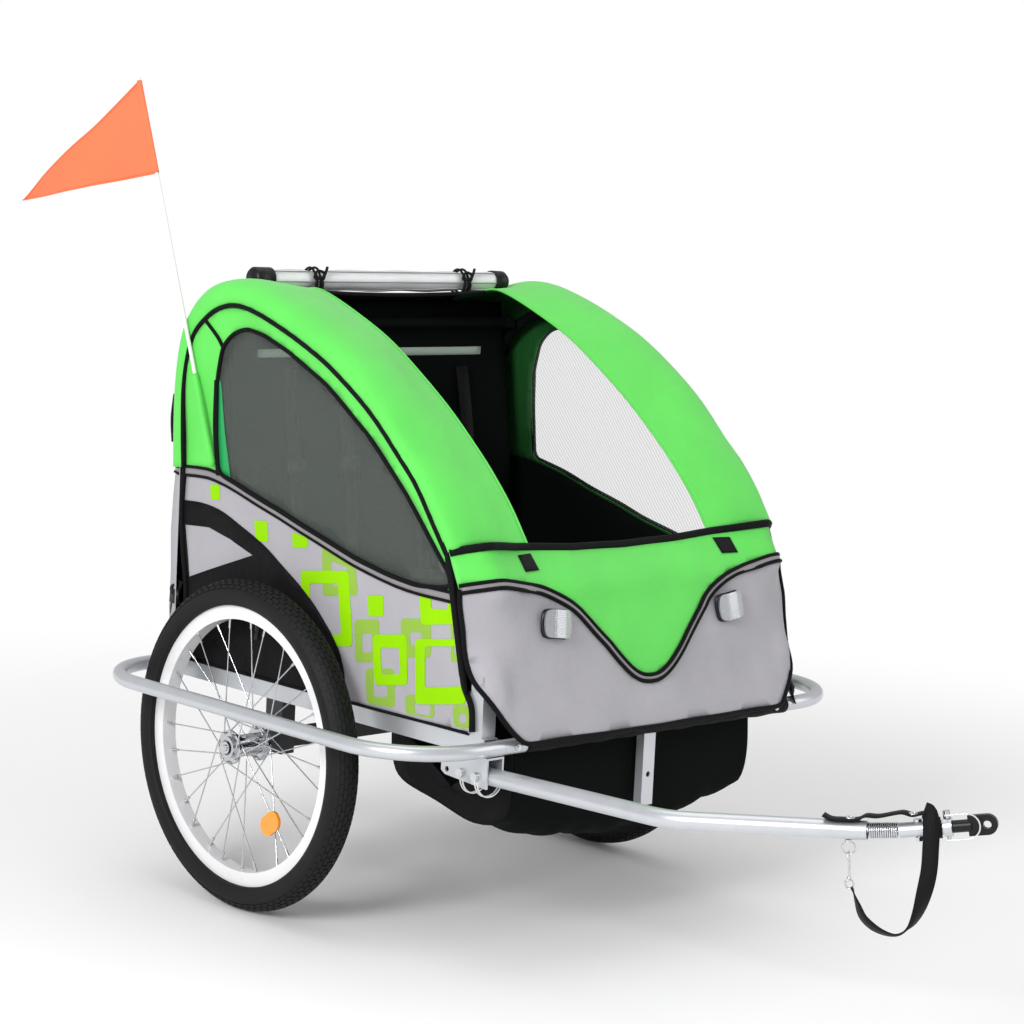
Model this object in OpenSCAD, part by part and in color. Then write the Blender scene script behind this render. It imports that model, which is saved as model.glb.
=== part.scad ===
// Child bicycle trailer for two, with its cabin, 20 inch wheels, side drawbar and flag.
// Millimetres, Z up, the drawbar points to -Y, origin on the ground under the middle of the bounding box.

/* [Wheels] */
// outside diameter of the tyre
wheel_d = 498; // [490:1:506]
// width of the tyre
tyre_w = 47; // [40:1:50]
// distance between the two wheel centre planes
track = 746; // [740:1:780]
// spokes in each wheel
spoke_count = 28; // [20:4:36]

/* [Frame] */
// width over the outer faces of the two side rails
frame_w = 640; // [620:2:644]
// size of the square side rail
rail = 25; // [22:1:28]
// height of the rail centre above the axle
rail_z = 76; // [72:1:80]
// diameter of the cross tubes and wheel guards
guard_d = 22; // [19:0.5:25]
// sideways reach of each guard from the middle of the trailer
guard_x = 464; // [455:1:490]
// bend radius of the guards
guard_bend = 130; // [100:5:135]

/* [Cabin] */
// diameter of the folding side frame tube
hoop_d = 19; // [16:0.5:20]
// height of the left fold axis above the axle
fold_z = 160; // [158:1:170]
// how far the right fold axis lies below the left one
fold_step = 30; // [26:1:32]
// how much smaller the right side frame is than the left one
hoop_nest = 24; // [22:1:28]
// half width of the green canopy bands at their outer edge
canopy_x = 333; // [328:1:336]
// width of one canopy band
band_w = 144; // [80:2:150]

/* [Drawbar] */
// diameter of the drawbar tube
drawbar_d = 25; // [22:0.5:25.4]
// distance from the lock pin to the pivot pin
pin_pitch = 30; // [28:0.5:33]
// inward bend of the drawbar, in degrees
drawbar_bend = 30; // [20:1:34]
// bore of the hitch eye
eye_bore = 10.5; // [8:0.5:12]

/* [Flag] */
// diameter of the flag pole
pole_d = 6; // [5:0.5:6]
// length of the flag pole
pole_l = 618; // [500:2:700]

/* [Shown] */
// the piece to draw

/* [Hidden] */

steel = [0.78, 0.79, 0.81];
white = [0.9, 0.9, 0.9];
black = [0.07, 0.07, 0.08];
dark = [0.2, 0.2, 0.22];
green = [0.3, 0.9, 0.3];
grey = [0.62, 0.61, 0.64];
zinc = [0.7, 0.72, 0.74];
orange = [1, 0.42, 0.2];
clear = [0.85, 0.88, 0.9];
$fn = 48;
gap = 0.02;

wheel_r = wheel_d / 2;
wheel_x = track / 2;
rim_r = 211;
rim_half = 12;
hub_x0 = 36;
hub_x1 = 43;
axle_r = 6;
run = 0.06;

rail_x = frame_w / 2 - rail / 2;
rail_top = rail_z + rail / 2;
rail_bot = rail_z - rail / 2;
wall = 1.5;
front_y = -470;
rear_y = 285;
seat_tube_y = -190;
clamp_x = 295;
spigot_l = 42;
gusset_l = 34;
guard_r = guard_d / 2;

post_w = 39;
post_bot = -17;
beam_z = 3.5;
beam_h = 25;

// outline of the cabin seen from the side: a short leg, a wide front arc and a tight rear arc
leg_y = -440;
leg_z = 160;
leg_l = 35;
leg_a = 75;
top_a = 17.2;
front_arc = 689;
rear_arc = 182;
hoop_in = 20;
hoop_r = hoop_d / 2;
leg_r = hoop_r - 0.5;
vent_r = 3;
fabric = 2.5;
leg_end = [leg_y + leg_l * cos(leg_a), leg_z + leg_l * sin(leg_a)];
arc1 = leg_end + front_arc * [sin(leg_a), -cos(leg_a)];
arc_join = arc1 + front_arc * [-sin(top_a), cos(top_a)];
arc2 = arc_join + rear_arc * [sin(top_a), -cos(top_a)];

// cabin front seen from the side: waist, knee, belly and lower edge
waist = [-400, 341];
knee = [-434, 292];
belly = [-462, 215];
hem = [-494, 84];
waist_a = 59.5;

crossbar_y = 165;
crossbar_r = 8;
crossbar_half = 284;
crossbar_z = 618;
roll_y = 150;
roll_z = 690;
roll_r = 17;
roll_half = 255;

tow_x = -305.75;
pivot = [tow_x, -420.5, 34];
tow_rise = 1.6;
lock_y = pivot[1] - pin_pitch;
tow_l = 379.6;
tow_stub = 20;
tow_bend = pivot + tow_l * [0, -cos(tow_rise), sin(tow_rise)];
bend_r = 120;
rise2 = 3.5;
seg2 = 260;
spring_l = 41;
spring_rise = 7;
rise3 = 10.8;
hitch_l = 56;
sleeve_l = 10.5;
pin_s = hitch_l + 5.5;
eye_s = 111;
eye_r = 13;
eye_t = 9;
tow_dir = [sin(drawbar_bend), -cos(drawbar_bend), 0];
function step(l, rise) = l * (cos(rise) * tow_dir + [0, 0, sin(rise)]);
dir1 = [0, -cos(tow_rise), sin(tow_rise)];
dir2 = step(1, rise2);
tow_turn = acos(dir1 * dir2);
tow_cut = bend_r * tan(tow_turn / 2);
spring_a = tow_bend + step(seg2, rise2);
spring_mid = spring_a + step(spring_l / 2, spring_rise);
spring_b = spring_a + step(spring_l, spring_rise);
eye_c = spring_b + step(eye_s, rise3);

pole_x = -343;
pole_lean = 20.7;
pole_foot = [pole_x, 144, 408];
sleeve_h = 140;
pennant_drop = 150;
pennant_fly = 371;
pennant_droop = 20;
pole_dir = [0, sin(pole_lean), cos(pole_lean)];
pole_tip = pole_foot + pole_l * pole_dir;
hoist_top = pole_tip - 6 * pole_dir;
hoist_low = hoist_top - pennant_drop * pole_dir;
fly = (hoist_top + hoist_low) / 2 + pennant_fly * [0, cos(pennant_droop), -sin(pennant_droop)];

// the origin sits under the middle of the bounding box, from the hitch eye to the tip of the pennant
eye_front = eye_c[1] - eye_r * norm([cos(rise3) * cos(drawbar_bend), sin(rise3) * cos(drawbar_bend)])
    - eye_t / 2 * sin(drawbar_bend);
shift = [0, -(eye_front + fly[1]) / 2, wheel_r];

module place() { translate(shift) children(); }
// turns a drawing in local x, y into the side view y, z and its height into x
module side_view() { rotate([90, 0, 90]) children(); }
// points local z along the third part of the drawbar, local y up
module along(rise) { rotate([0, 0, drawbar_bend]) rotate([90 - rise, 0, 0]) children(); }

module bar(r, l) { cylinder(r = r, h = l); }
module tube(r, l, w = wall) {
    difference() {
        cylinder(r = r, h = l);
        translate([0, 0, -1]) cylinder(r = r - w, h = l + 2);
    }
}
module ring2d(r, w = wall) { difference() { circle(r); circle(r - w); } }
// part of a bent tube: a torus piece of bend radius big between two angles in the local xy plane
module bend(big, r, a0, a1, w = wall) {
    rotate([0, 0, a0]) rotate_extrude(angle = a1 - a0) translate([big, 0]) ring2d(r, w);
}
// short ring inside a tube that joins two lengths of it across a hairline gap
module splice(r, w = wall) {
    translate([0, 0, -3]) difference() {
        bar(r - w + 0.6, 6);
        translate([0, 0, -1]) bar(r - w - 0.8, 8);
    }
}
module square_tube(l, s, w) {
    difference() {
        translate([-s / 2, 0, -s / 2]) cube([s, l, s]);
        translate([-s / 2 + w, -1, -s / 2 + w]) cube([s - 2 * w, l + 2, s - 2 * w]);
    }
}

// ---- chassis ----
// side rail with a gusset to each end cross tube, hollowed out where the guard ends sit
module rail_tube(side) {
    difference() {
        union() {
            translate([side * rail_x, front_y + 8, rail_z]) square_tube(rear_y - front_y - 16, rail, wall);
            for (y = [front_y, rear_y - gusset_l]) translate([side * (clamp_x - 4) - 6, y, rail_z - 8])
                cube([12, gusset_l, 16]);
        }
        for (y = [front_y, rear_y]) translate([side * (clamp_x + 0.15), y, rail_z]) rotate([0, side * 90, 0])
            bar(guard_r + 0.05, 60);
    }
}
module cross_tube(y, half) {
    translate([-half, y, rail_z]) rotate([0, 90, 0]) tube(guard_r, 2 * half);
}
module spigot(side, y) {
    translate([side * (clamp_x - 12), y, rail_z]) rotate([0, side * 90, 0])
        difference() {
            union() { bar(guard_r - wall - 0.08, spigot_l + 12); bar(guard_r - wall + 0.4, 9); }
            translate([0, 0, -1]) bar(guard_r - wall - 2.5, spigot_l + 14);
        }
}
module post(side, y, top) {
    difference() {
        translate([side * rail_x - rail / 2, y, rail_top - 0.5]) cube([rail, rail, top - rail_top + 14.5]);
        translate([side * rail_x, y - 1, top]) rotate([-90, 0, 0]) bar(hoop_r + run, rail + 2);
    }
}
function hoop_rear(in) = arc2[0] + rear_arc - in;
function rear_post(in) = hoop_rear(in) - hoop_r - 2 - rail;
module chassis_frame() {
    color(steel) place() {
        for (s = [-1, 1]) rail_tube(s);
        cross_tube(front_y, clamp_x);
        cross_tube(rear_y, clamp_x);
        cross_tube(seat_tube_y, rail_x - rail / 2 + 1);
        for (s = [-1, 1]) for (y = [front_y, rear_y]) spigot(s, y);
        post(-1, front_y + 13, fold_z);
        post(1, front_y + 13, fold_z - fold_step);
        post(-1, rear_post(hoop_in), fold_z);
        post(1, rear_post(hoop_in + hoop_nest), fold_z - fold_step);
    }
}
module axle_beam() {
    color(dark) place() difference() {
        axle_body();
        for (s = [-1, 1]) {
            translate([s * rail_x - rail, 0, 0]) rotate([0, 90, 0]) bar(axle_r + 0.05, 2 * rail);
            translate([s * (rail_x - rail / 2 + 0.5), 0, 0]) rotate([0, -s * 90, 0]) bar(9.6, 9.2);
        }
    }
}
module axle_body() {
    union() {
        translate([-rail_x + rail / 2 - 1, -beam_h / 2, beam_z - beam_h / 2])
            cube([2 * rail_x - rail + 2, beam_h, beam_h]);
        for (s = [-1, 1]) translate([s * rail_x - rail / 2, -post_w / 2, post_bot])
            cube([rail, post_w, rail_bot - post_bot - 0.05]);
    }
}
ch_out = drawbar_d / 2 + 0.4;
ch_t = 3;
module drawbar_bracket() {
    y0 = front_y - 2;
    y1 = pivot[1] + pin_pitch + 12;
    color(steel) place() difference() {
        translate([tow_x, 0, 0]) union() {
            for (s = [-1, 1]) side_view() translate([0, 0, s > 0 ? ch_out : -ch_out - ch_t])
                linear_extrude(ch_t) polygon([[y0, rail_bot - 0.05], [y1, rail_bot - 0.05],
                    [y1, 31], [y1 - 8, 26], [y0, 20]]);
            translate([-ch_out - ch_t, y0, rail_bot - 3.05]) cube([2 * (ch_out + ch_t), y1 - y0, 3]);
        }
        for (i = [-1, 0, 1]) translate([tow_x - 40, pivot[1] + i * pin_pitch, pivot[2]])
            rotate([0, 90, 0]) bar(4 + run, 80);
    }
}
fw_z0 = -42;
fw_hole_z = 4;
module front_wheel_bracket() {
    color(steel) place() difference() {
        translate([-12, front_y - 6, fw_z0]) cube([24, 15, rail_z - guard_r - fw_z0 + 3]);
        translate([-10.5, front_y - 4, fw_z0 - 1]) cube([21, 20, rail_z - guard_r - fw_z0 - 4]);
        translate([0, front_y - 20, fw_hole_z]) rotate([-90, 0, 0]) bar(4.1, 30);
        translate([-20, front_y, rail_z]) rotate([0, 90, 0]) bar(guard_r + 0.02, 40);
    }
}
module guard(s) {
    color(steel) place() mirror([s > 0 ? 0 : 1, 0, 0]) {
        gx = guard_x - guard_bend;
        for (y = [front_y, rear_y]) translate([clamp_x + 0.3, y, rail_z]) rotate([0, 90, 0])
            tube(guard_r, gx - clamp_x - 0.3);
        translate([gx, front_y + guard_bend, rail_z]) bend(guard_bend, guard_r, -90, 0);
        translate([gx, rear_y - guard_bend, rail_z]) bend(guard_bend, guard_r, 0, 90);
        translate([guard_x, front_y + guard_bend, rail_z]) rotate([-90, 0, 0])
            tube(guard_r, rear_y - front_y - 2 * guard_bend);
    }
}
module guard_left() { guard(-1); }
module guard_right() { guard(1); }
module guard_bolts() {
    color(zinc) place() for (s = [-1, 1]) for (y = [front_y, rear_y])
        translate([s * (clamp_x - 22), y + (y > 0 ? 1 : -1) * (guard_r + 0.05), rail_z])
            rotate([y > 0 ? -90 : 90, 0, 0]) {
                bar(4.5, 2.5);
                translate([0, 0, 2.5]) cylinder(r = 2.6, h = 1.2);
            }
}

// ---- wheels ----
// every wheel piece is drawn for the wheel plane at x = 0 with the outside towards +x
module at_wheel(s) { place() translate([s * wheel_x, 0, 0]) mirror([s > 0 ? 0 : 1, 0, 0]) children(); }
module lathe() { rotate([0, 90, 0]) rotate_extrude($fn = 96) children(); }
module tyre() {
    lathe() difference() {
        union() {
            translate([wheel_r - tyre_w / 2, 0]) circle(tyre_w / 2);
            translate([rim_r - 7, -9]) square([10, 18]);
        }
        translate([wheel_r - tyre_w / 2, 0]) circle(tyre_w / 2 - 4);
        translate([rim_r - 10, -5]) square([18, 10]);
        for (x = [9, -30]) translate([rim_r - 30, x]) square([30 + run, 21]);
    }
}
module rim() {
    difference() {
        lathe() difference() {
            translate([rim_r - 21, -rim_half]) square([21, 2 * rim_half]);
            translate([rim_r - 8.5, -9.1]) square([10, 18.2]);
            translate([rim_r - 17, -rim_half + 2]) square([6, 2 * rim_half - 4]);
        }
        rotate([spoke_step / 2, 0, 0]) translate([0, 0, rim_r - 40]) bar(4.1, 60);
    }
}
spoke_step = 360 / spoke_count;
flange_r = 22;
nipple_r = 190;
lace_a = 68;
module spokes() {
    for (i = [0 : spoke_count - 1]) {
        out = i % 2 == 0;
        lace = i % 4 < 2 ? 1 : -1;
        a0 = i * spoke_step + lace * lace_a;
        a1 = i * spoke_step;
        p0 = [(out ? 28.6 : -25.4) + lace * 5.2, flange_r * cos(a0), flange_r * sin(a0)];
        p1 = [out ? 3 : -3, (nipple_r + 0.9) * cos(a1), (nipple_r + 0.9) * sin(a1)];
        d = p1 - p0;
        l = norm(d);
        translate(p0) rotate([0, acos(d[2] / l), atan2(d[1], d[0])]) {
            bar(1, l - 1.2);
            translate([0, 0, l - 15]) bar(2, 13.2);
        }
        translate(p0) sphere(1.04);
        translate(p0) rotate([0, -lace * 90, 0]) bar(1.02, 9);
    }
}
module hub() {
    difference() {
        union() {
            translate([-27, 0, 0]) rotate([0, 90, 0]) bar(13, 62);
            for (x = [-27, 27]) translate([x, 0, 0]) rotate([0, 90, 0]) bar(26, 3.2);
            translate([-hub_x0, 0, 0]) rotate([0, 90, 0]) bar(16.5, hub_x0 + hub_x1 - 8);
        }
        translate([-50, 0, 0]) rotate([0, 90, 0]) bar(axle_r + run, 100);
        translate([hub_x1 - 14, 0, 0]) rotate([0, 90, 0]) bar(11.5, 20);
        for (i = [0 : spoke_count - 1]) {
            a0 = i * spoke_step + (i % 4 < 2 ? 1 : -1) * lace_a;
            translate([i % 2 == 0 ? 20 : -40, flange_r * cos(a0), flange_r * sin(a0)])
                rotate([0, 90, 0]) bar(1.6, 20);
        }
    }
}
module valve() {
    rotate([spoke_step / 2, 0, 0]) translate([0, 0, rim_r - 47]) {
        bar(2.8, 14);
        bar(4, 9);
        translate([0, 0, 13]) bar(4, 20);
    }
}
module wheel_reflector() {
    rotate([spoke_step * 11, 0, 0]) translate([9, 0, 130]) rotate([0, 90, 0])
        intersection() {
            scale([1, 1.35, 1]) bar(17, 5);
            translate([-15, -22, 0]) cube([30, 44, 5]);
        }
}
module tyre_left() { color(black) at_wheel(-1) tyre(); }
module tyre_right() { color(black) at_wheel(1) tyre(); }
module rim_left() { color(white) at_wheel(-1) rim(); }
module rim_right() { color(white) at_wheel(1) rim(); }
module spokes_left() { color(zinc) at_wheel(-1) spokes(); }
module spokes_right() { color(zinc) at_wheel(1) spokes(); }
module hub_left() { color(zinc) at_wheel(-1) hub(); }
module hub_right() { color(zinc) at_wheel(1) hub(); }
module valve_left() { color(black) at_wheel(-1) valve(); }
module valve_right() { color(black) at_wheel(1) valve(); }
module wheel_reflector_left() { color(orange) at_wheel(-1) wheel_reflector(); }
module wheel_reflector_right() { color(orange) at_wheel(1) wheel_reflector(); }
axle_in = wheel_x - rail_x + rail / 2 + 4;
module axle_pins() {
    color(zinc) place() for (s = [-1, 1]) translate([s * wheel_x, 0, 0]) rotate([0, s * 90, 0])
        translate([0, 0, -axle_in]) difference() {
            union() { bar(axle_r, axle_in + 30.5); translate([0, 0, axle_in + 30.5]) bar(9, 7); }
            translate([0, 0, axle_in + 24]) bar(5, 30);
        }
}
module axle_nuts() {
    color(zinc) place() for (s = [-1, 1]) translate([s * (rail_x - rail / 2 - 4.02), 0, 0])
        translate([s > 0 ? -4 : 0, 0, 0]) rotate([0, 90, 0]) tube(9, 4, 9 - axle_r - 0.05);
}
module axle_button() {
    rotate([0, 90, 0]) {
        translate([0, 0, 27.6]) bar(4.9, 12);
        translate([0, 0, 39.6]) cylinder(r1 = 4.9, r2 = 3.4, h = 2);
    }
}
module axle_button_left() { color(steel) at_wheel(-1) axle_button(); }
module axle_button_right() { color(steel) at_wheel(1) axle_button(); }

// ---- drawbar ----
module drawbar_pins() {
    color(zinc) place() for (y = [pivot[1], lock_y]) translate([tow_x, y, pivot[2]]) rotate([0, 90, 0])
        translate([0, 0, -ch_out - ch_t - 5]) { bar(4, 2 * (ch_out + ch_t) + 14); bar(6.5, 4.9); }
}
wire_r = 24;
module pin_wires() {
    color(white) place() for (y = [pivot[1], lock_y]) translate([tow_x, y - 12, pivot[2] - 4])
        for (k = [0, 1]) rotate([0, k * 2, 0]) translate([0, k * 5, 0]) rotate([90, 0, 0])
            rotate([0, 0, 180]) rotate_extrude(angle = 180) translate([wire_r, 0]) circle(1.1, $fn = 16);
}
slot_clear = 0.4;
slot_w = 9.6;
// torus piece that turns the direction d1 at the corner p into the direction d2
module corner(p, d1, d2, big, r, w = wall) {
    turn = acos(d1 * d2);
    v = (d2 - cos(turn) * d1) / sin(turn);
    c = p - big * tan(turn / 2) * d1 + big * v;
    n = cross(-v, d1);
    multmatrix([for (i = [0 : 2]) [-v[i], d1[i], n[i], c[i]]]) {
        bend(big, r, 0, turn, w);
        for (a = [0, turn]) rotate([0, 0, a]) translate([big, 0, 0]) rotate([90, 0, 0]) splice(r, w);
    }
}
module drawbar_tube() {
    color(steel) place() difference() {
        union() {
            translate(pivot) rotate([90 - tow_rise, 0, 0]) translate([0, 0, -tow_stub])
                tube(drawbar_d / 2, tow_l + tow_stub - tow_cut - gap);
            corner(tow_bend, dir1, dir2, bend_r, drawbar_d / 2);
            translate(tow_bend) along(rise2) translate([0, 0, tow_cut + gap])
                tube(drawbar_d / 2, seg2 - tow_cut - gap);
        }
        translate(pivot - [40, 0, 0]) rotate([0, 90, 0]) bar(4 + run, 80);
        translate(pivot - [40, 0, 0]) intersection() {
            rotate([0, 90, 0]) tube(pin_pitch + slot_w / 2, 80, slot_w);
            translate([-1, -pin_pitch - 20, 0]) cube([90, 40, 30]);
        }
        translate([tow_x - 40, lock_y, pivot[2]]) rotate([0, 90, 0]) bar(4 + slot_clear, 80);
    }
}
ring_s = 236;
ring_r = 8.5;
ring_wire = 1.2;
ring_y = -drawbar_d / 2 - 2.7 - ring_r;
hook_r = 5;
hook_wire = 1.6;
hook_l = 30;
hook_eye = 5.5;
hook_y = ring_y - ring_r + ring_wire + hook_wire + 0.3 - hook_r;
gate_foot = [1.9, -17, 0];
gate_lean = 23.6;
gate_l = 10.2;
// local z along the drawbar at the strap ring, local y up
module at_ring(y) { place() translate(tow_bend) along(rise2) translate([0, y, ring_s]) children(); }
module strap_ring() {
    color(zinc) {
        at_ring(-drawbar_d / 2 - 4.1) rotate([-90, 0, 0]) bar(4.5, 4);
        at_ring(ring_y) rotate([0, 90, 0]) rotate_extrude() translate([ring_r, 0]) circle(ring_wire, $fn = 16);
    }
}
strap_w = 22;
strap_s = 34;
strap_drop = 107;
module safety_strap() {
    color(black) place() translate(spring_b) along(rise3) translate([0, 0, strap_s]) {
        tube(11.6, strap_w, 1.7);
        translate([-1.2, -11 - strap_drop, 0]) cube([1.8, strap_drop, strap_w]);
    }
}
module snap_hook() {
    color(zinc) at_ring(hook_y) {
        rotate_extrude(angle = 235) translate([hook_r, 0]) circle(hook_wire, $fn = 16);
        translate([hook_r, 0, 0]) rotate([90, 0, 0]) bar(hook_wire, hook_l);
        translate([hook_r, -hook_l, 0]) sphere(3);
        translate([hook_r, -hook_l - 2.5 - hook_eye, 0]) rotate([0, 90, 0]) rotate_extrude()
            translate([hook_eye, 0]) circle(1.4, $fn = 16);
    }
}
module snap_gate() {
    color(zinc) at_ring(hook_y) translate(gate_foot) rotate([-90, 0, gate_lean]) bar(1.1, gate_l);
}
module coupling_spring() {
    color(zinc) place() translate(spring_a) along(spring_rise) for (i = [0 : 13])
        translate([0, 0, 1.8 + i * (spring_l - 4.6) / 13])
            rotate_extrude() translate([9.6, 0]) circle(1.3, $fn = 16);
}
module spring_core() {
    color(dark) place() translate(spring_mid) along(spring_rise) translate([0, 0, -6]) bar(6, 12);
}
module hitch_tube() {
    color(steel) place() translate(spring_b) along(rise3) difference() {
        union() { bar(9.8, hitch_l + 1); translate([0, 0, hitch_l + 1 - 0.5]) bar(12, sleeve_l); }
        translate([0, 0, 12]) bar(8 + run, 90);
        translate([0, -40, 24]) rotate([-90, 0, 0]) bar(3.05, 80);
        translate([0, -40, pin_s]) rotate([-90, 0, 0]) bar(3 + run, 80);
    }
}
module hitch_bolt() {
    color(zinc) place() translate(spring_b) along(rise3) translate([0, 0, 24]) rotate([-90, 0, 0])
        translate([0, 0, -14.9]) {
            bar(3, 28);
            cylinder(r = 5.5, h = 5, $fn = 6);
            translate([0, 0, 24.8]) bar(5.2, 3.2);
        }
}
module hitch_eye() {
    color(black) place() translate(spring_b) along(rise3) difference() {
        union() {
            translate([0, 0, 14]) bar(8, eye_s - 14 - 20);
            translate([-eye_t / 2, 0, eye_s]) rotate([0, 90, 0]) bar(eye_r, eye_t);
            translate([-eye_t / 2, -eye_r, eye_s - 24]) cube([eye_t, 2 * eye_r, 24]);
        }
        translate([-20, 0, eye_s]) rotate([0, 90, 0]) bar(eye_bore / 2, 40);
        translate([0, -40, 24]) rotate([-90, 0, 0]) bar(3.05, 80);
        translate([0, -40, pin_s]) rotate([-90, 0, 0]) bar(3 + run, 80);
    }
}
module hitch_pin() {
    color(zinc) place() translate(spring_b) along(rise3) translate([0, 0, pin_s]) rotate([-90, 0, 0])
        difference() {
            translate([0, 0, -16]) { bar(3, 36); translate([0, 0, 28.2]) bar(5, 9); }
            translate([-20, 0, 18]) rotate([0, 90, 0]) bar(1 + run, 40);
        }
}
bail_x = -15;
bail_y = 18;
bail_r = 16;
bail_l = 26;
module pin_bail() {
    color(white) place() translate(spring_b) along(rise3) translate([bail_x, bail_y, pin_s]) {
        translate([-1, 0, 0]) rotate([0, 90, 0]) bar(1, 24);
        for (y = [0, -2 * bail_r]) translate([0, y, 0]) bar(1, bail_l);
        translate([0, -bail_r, bail_l]) rotate([0, 90, 0]) rotate([0, 0, 90])
            rotate_extrude(angle = 180) translate([bail_r, 0]) circle(1, $fn = 16);
    }
}

// ---- folding cabin frame ----
// closed side frame: fold bar, front leg, wide and tight arc and rear leg, with a vent into each leg
module hoop(s, in, axis_z) {
    foot = [leg_y, leg_z] + in * [sin(leg_a), -cos(leg_a)];
    extra = (foot[1] - axis_z) / sin(leg_a);
    color(steel) place() translate([s * rail_x, 0, 0]) difference() {
        union() {
            translate([0, front_y + 14, axis_z]) rotate([-90, 0, 0])
                tube(hoop_r, hoop_rear(in) + hoop_r + 3 - front_y - 14);
            side_view() translate(foot - extra * [cos(leg_a), sin(leg_a)]) rotate([0, 90, leg_a]) {
                tube(leg_r, leg_l + extra - gap);
                translate([0, 0, leg_l + extra]) splice(leg_r);
            }
            side_view() translate(arc1) bend(front_arc - in, leg_r, top_a + 90, leg_a + 90);
            side_view() translate(arc2) {
                bend(rear_arc - in, leg_r, 0, top_a + 90 - asin(gap / rear_arc));
                rotate([0, 0, top_a + 90]) translate([rear_arc - in, 0, 0])
                    rotate([90, 0, 0]) splice(leg_r);
            }
            translate([0, hoop_rear(in), axis_z]) {
                tube(leg_r, arc2[1] - axis_z - gap);
                translate([0, 0, arc2[1] - axis_z]) splice(leg_r);
            }
        }
        side_view() translate(foot - extra * [cos(leg_a), sin(leg_a)]) rotate([0, 90, leg_a])
            bar(vent_r, 2 * hoop_r);
        translate([0, hoop_rear(in), axis_z]) bar(vent_r, 2 * hoop_r);
    }
}
module side_frame_left() { hoop(-1, hoop_in, fold_z); }
module side_frame_right() { hoop(1, hoop_in + hoop_nest, fold_z - fold_step); }
module crossbar() {
    color(black) place() translate([0, crossbar_y, crossbar_z]) {
        translate([-crossbar_half, 0, 0]) rotate([0, 90, 0]) bar(crossbar_r, 2 * crossbar_half);
        for (s = [-1, 1]) translate([s * crossbar_half - 8, -10, -crossbar_r])
            cube([16, 20, 2 * crossbar_r + (s < 0 ? hoop_nest - 1 : 0)]);
    }
}
module cover_roll() {
    color(clear) place() translate([-roll_half, roll_y, roll_z]) rotate([0, 90, 0])
        bar(roll_r, 2 * roll_half);
}
module roll_ties() {
    color(black) place() for (x = [-156, 156]) translate([x - 9, roll_y, roll_z]) rotate([0, 90, 0])
        tube(roll_r + 2.3, 18, 2.1);
}

// ---- fabric ----
steps = 24;
function arc_pts(c, r, a0, a1, n) =
    [for (i = [0 : n]) let(a = a0 + (a1 - a0) * i / n) c + r * [cos(a), sin(a)]];
// cabin outline at an inset, from the angle a0 on the front arc to the angle a1 on the rear arc
function outline(in, a0, a1) = concat(arc_pts(arc1, front_arc - in, a0, top_a + 90, steps),
    arc_pts(arc2, rear_arc - in, top_a + 90, a1, steps));
function rear_leg(in, z) = [[arc2[0] + rear_arc - in, z]];
function flip(v) = [for (i = [len(v) - 1 : -1 : 0]) v[i]];
module sheet(in, t, a0, a1, z) {
    polygon(concat(outline(in, a0, a1), rear_leg(in, z),
        flip(rear_leg(in + t, z)), flip(outline(in + t, a0, a1))));
}
module band(s) {
    color(green) place() translate([s > 0 ? canopy_x - band_w : -canopy_x, 0, 0]) side_view()
        linear_extrude(band_w) sheet(0, fabric, waist_a + 90, 0, 388);
}
module canopy_band_left() { band(-1); }
module canopy_band_right() { band(1); }
mid_x = canopy_x - band_w - 1;
module roof_panel() {
    color(black) place() translate([-mid_x, 0, 0]) side_view() linear_extrude(2 * mid_x)
        polygon(concat(arc_pts(arc2, rear_arc - 1, 103, 0, steps), rear_leg(1, 388),
            flip(rear_leg(1 + fabric, 388)), flip(arc_pts(arc2, rear_arc - 1 - fabric, 103, 0, steps))));
}
module rear_panel() {
    y = arc2[0] + rear_arc;
    color(grey) place() translate([-canopy_x + 8, 0, 0]) side_view() linear_extrude(2 * canopy_x - 16)
        polygon([[y, 387], [y - fabric, 387], [y - fabric, 104], [y, 104]]);
}
module front_panel() {
    o = [fabric, 0];
    color(green) place() intersection() {
        translate([-canopy_x, 0, 0]) side_view() linear_extrude(2 * canopy_x)
            polygon([waist, knee, belly, hem, hem + o, belly + o, knee + o, waist + o]);
        translate([0, -300, 0]) rotate([90, 0, 0]) linear_extrude(300)
            polygon([[-canopy_x, 400], [-canopy_x, 172], [-272, 80],
                [272, 80], [canopy_x, 172], [canopy_x, 400]]);
    }
}
function bezier(a, b, c, d, n) = [for (i = [0 : n]) let(t = i / n)
    pow(1 - t, 3) * a + 3 * pow(1 - t, 2) * t * b + 3 * (1 - t) * t * t * c + t * t * t * d];
win_in = 46;
win_rear = 145;
function window_shape(g) = let(
    f = arc_pts(arc1, front_arc - win_in + g, 55 + 90, top_a + 90, steps),
    r = arc_pts(arc2, rear_arc - win_in + g, top_a + 90, 60, 8),
    s = [win_rear + g, 400 - g])
    concat(f, r, [[win_rear + g, 560]], bezier(s, s - [150, 5], f[0] + [160, -10], f[0] + [6, -14 - g], 12));
side_low = 92;
module side_panel(s) {
    color(grey) place() translate([s > 0 ? frame_w / 2 + 1 : -frame_w / 2 - 1 - fabric, 0, 0]) side_view()
        linear_extrude(fabric) difference() {
            polygon(concat([[leg_y - 2, side_low], [leg_y - 2, leg_z]], outline(4, leg_a + 90 - 1, 0),
                rear_leg(4, side_low)));
            polygon(window_shape(0));
        }
}
module side_panel_left() { side_panel(-1); }
module side_panel_right() { side_panel(1); }
module side_window(s) {
    color(clear) place() translate([s > 0 ? frame_w / 2 + 1.5 : -frame_w / 2 - 2.5, 0, 0]) side_view()
        linear_extrude(1) polygon(window_shape(-0.3));
}
module side_window_left() { side_window(-1); }
module side_window_right() { side_window(1); }
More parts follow.
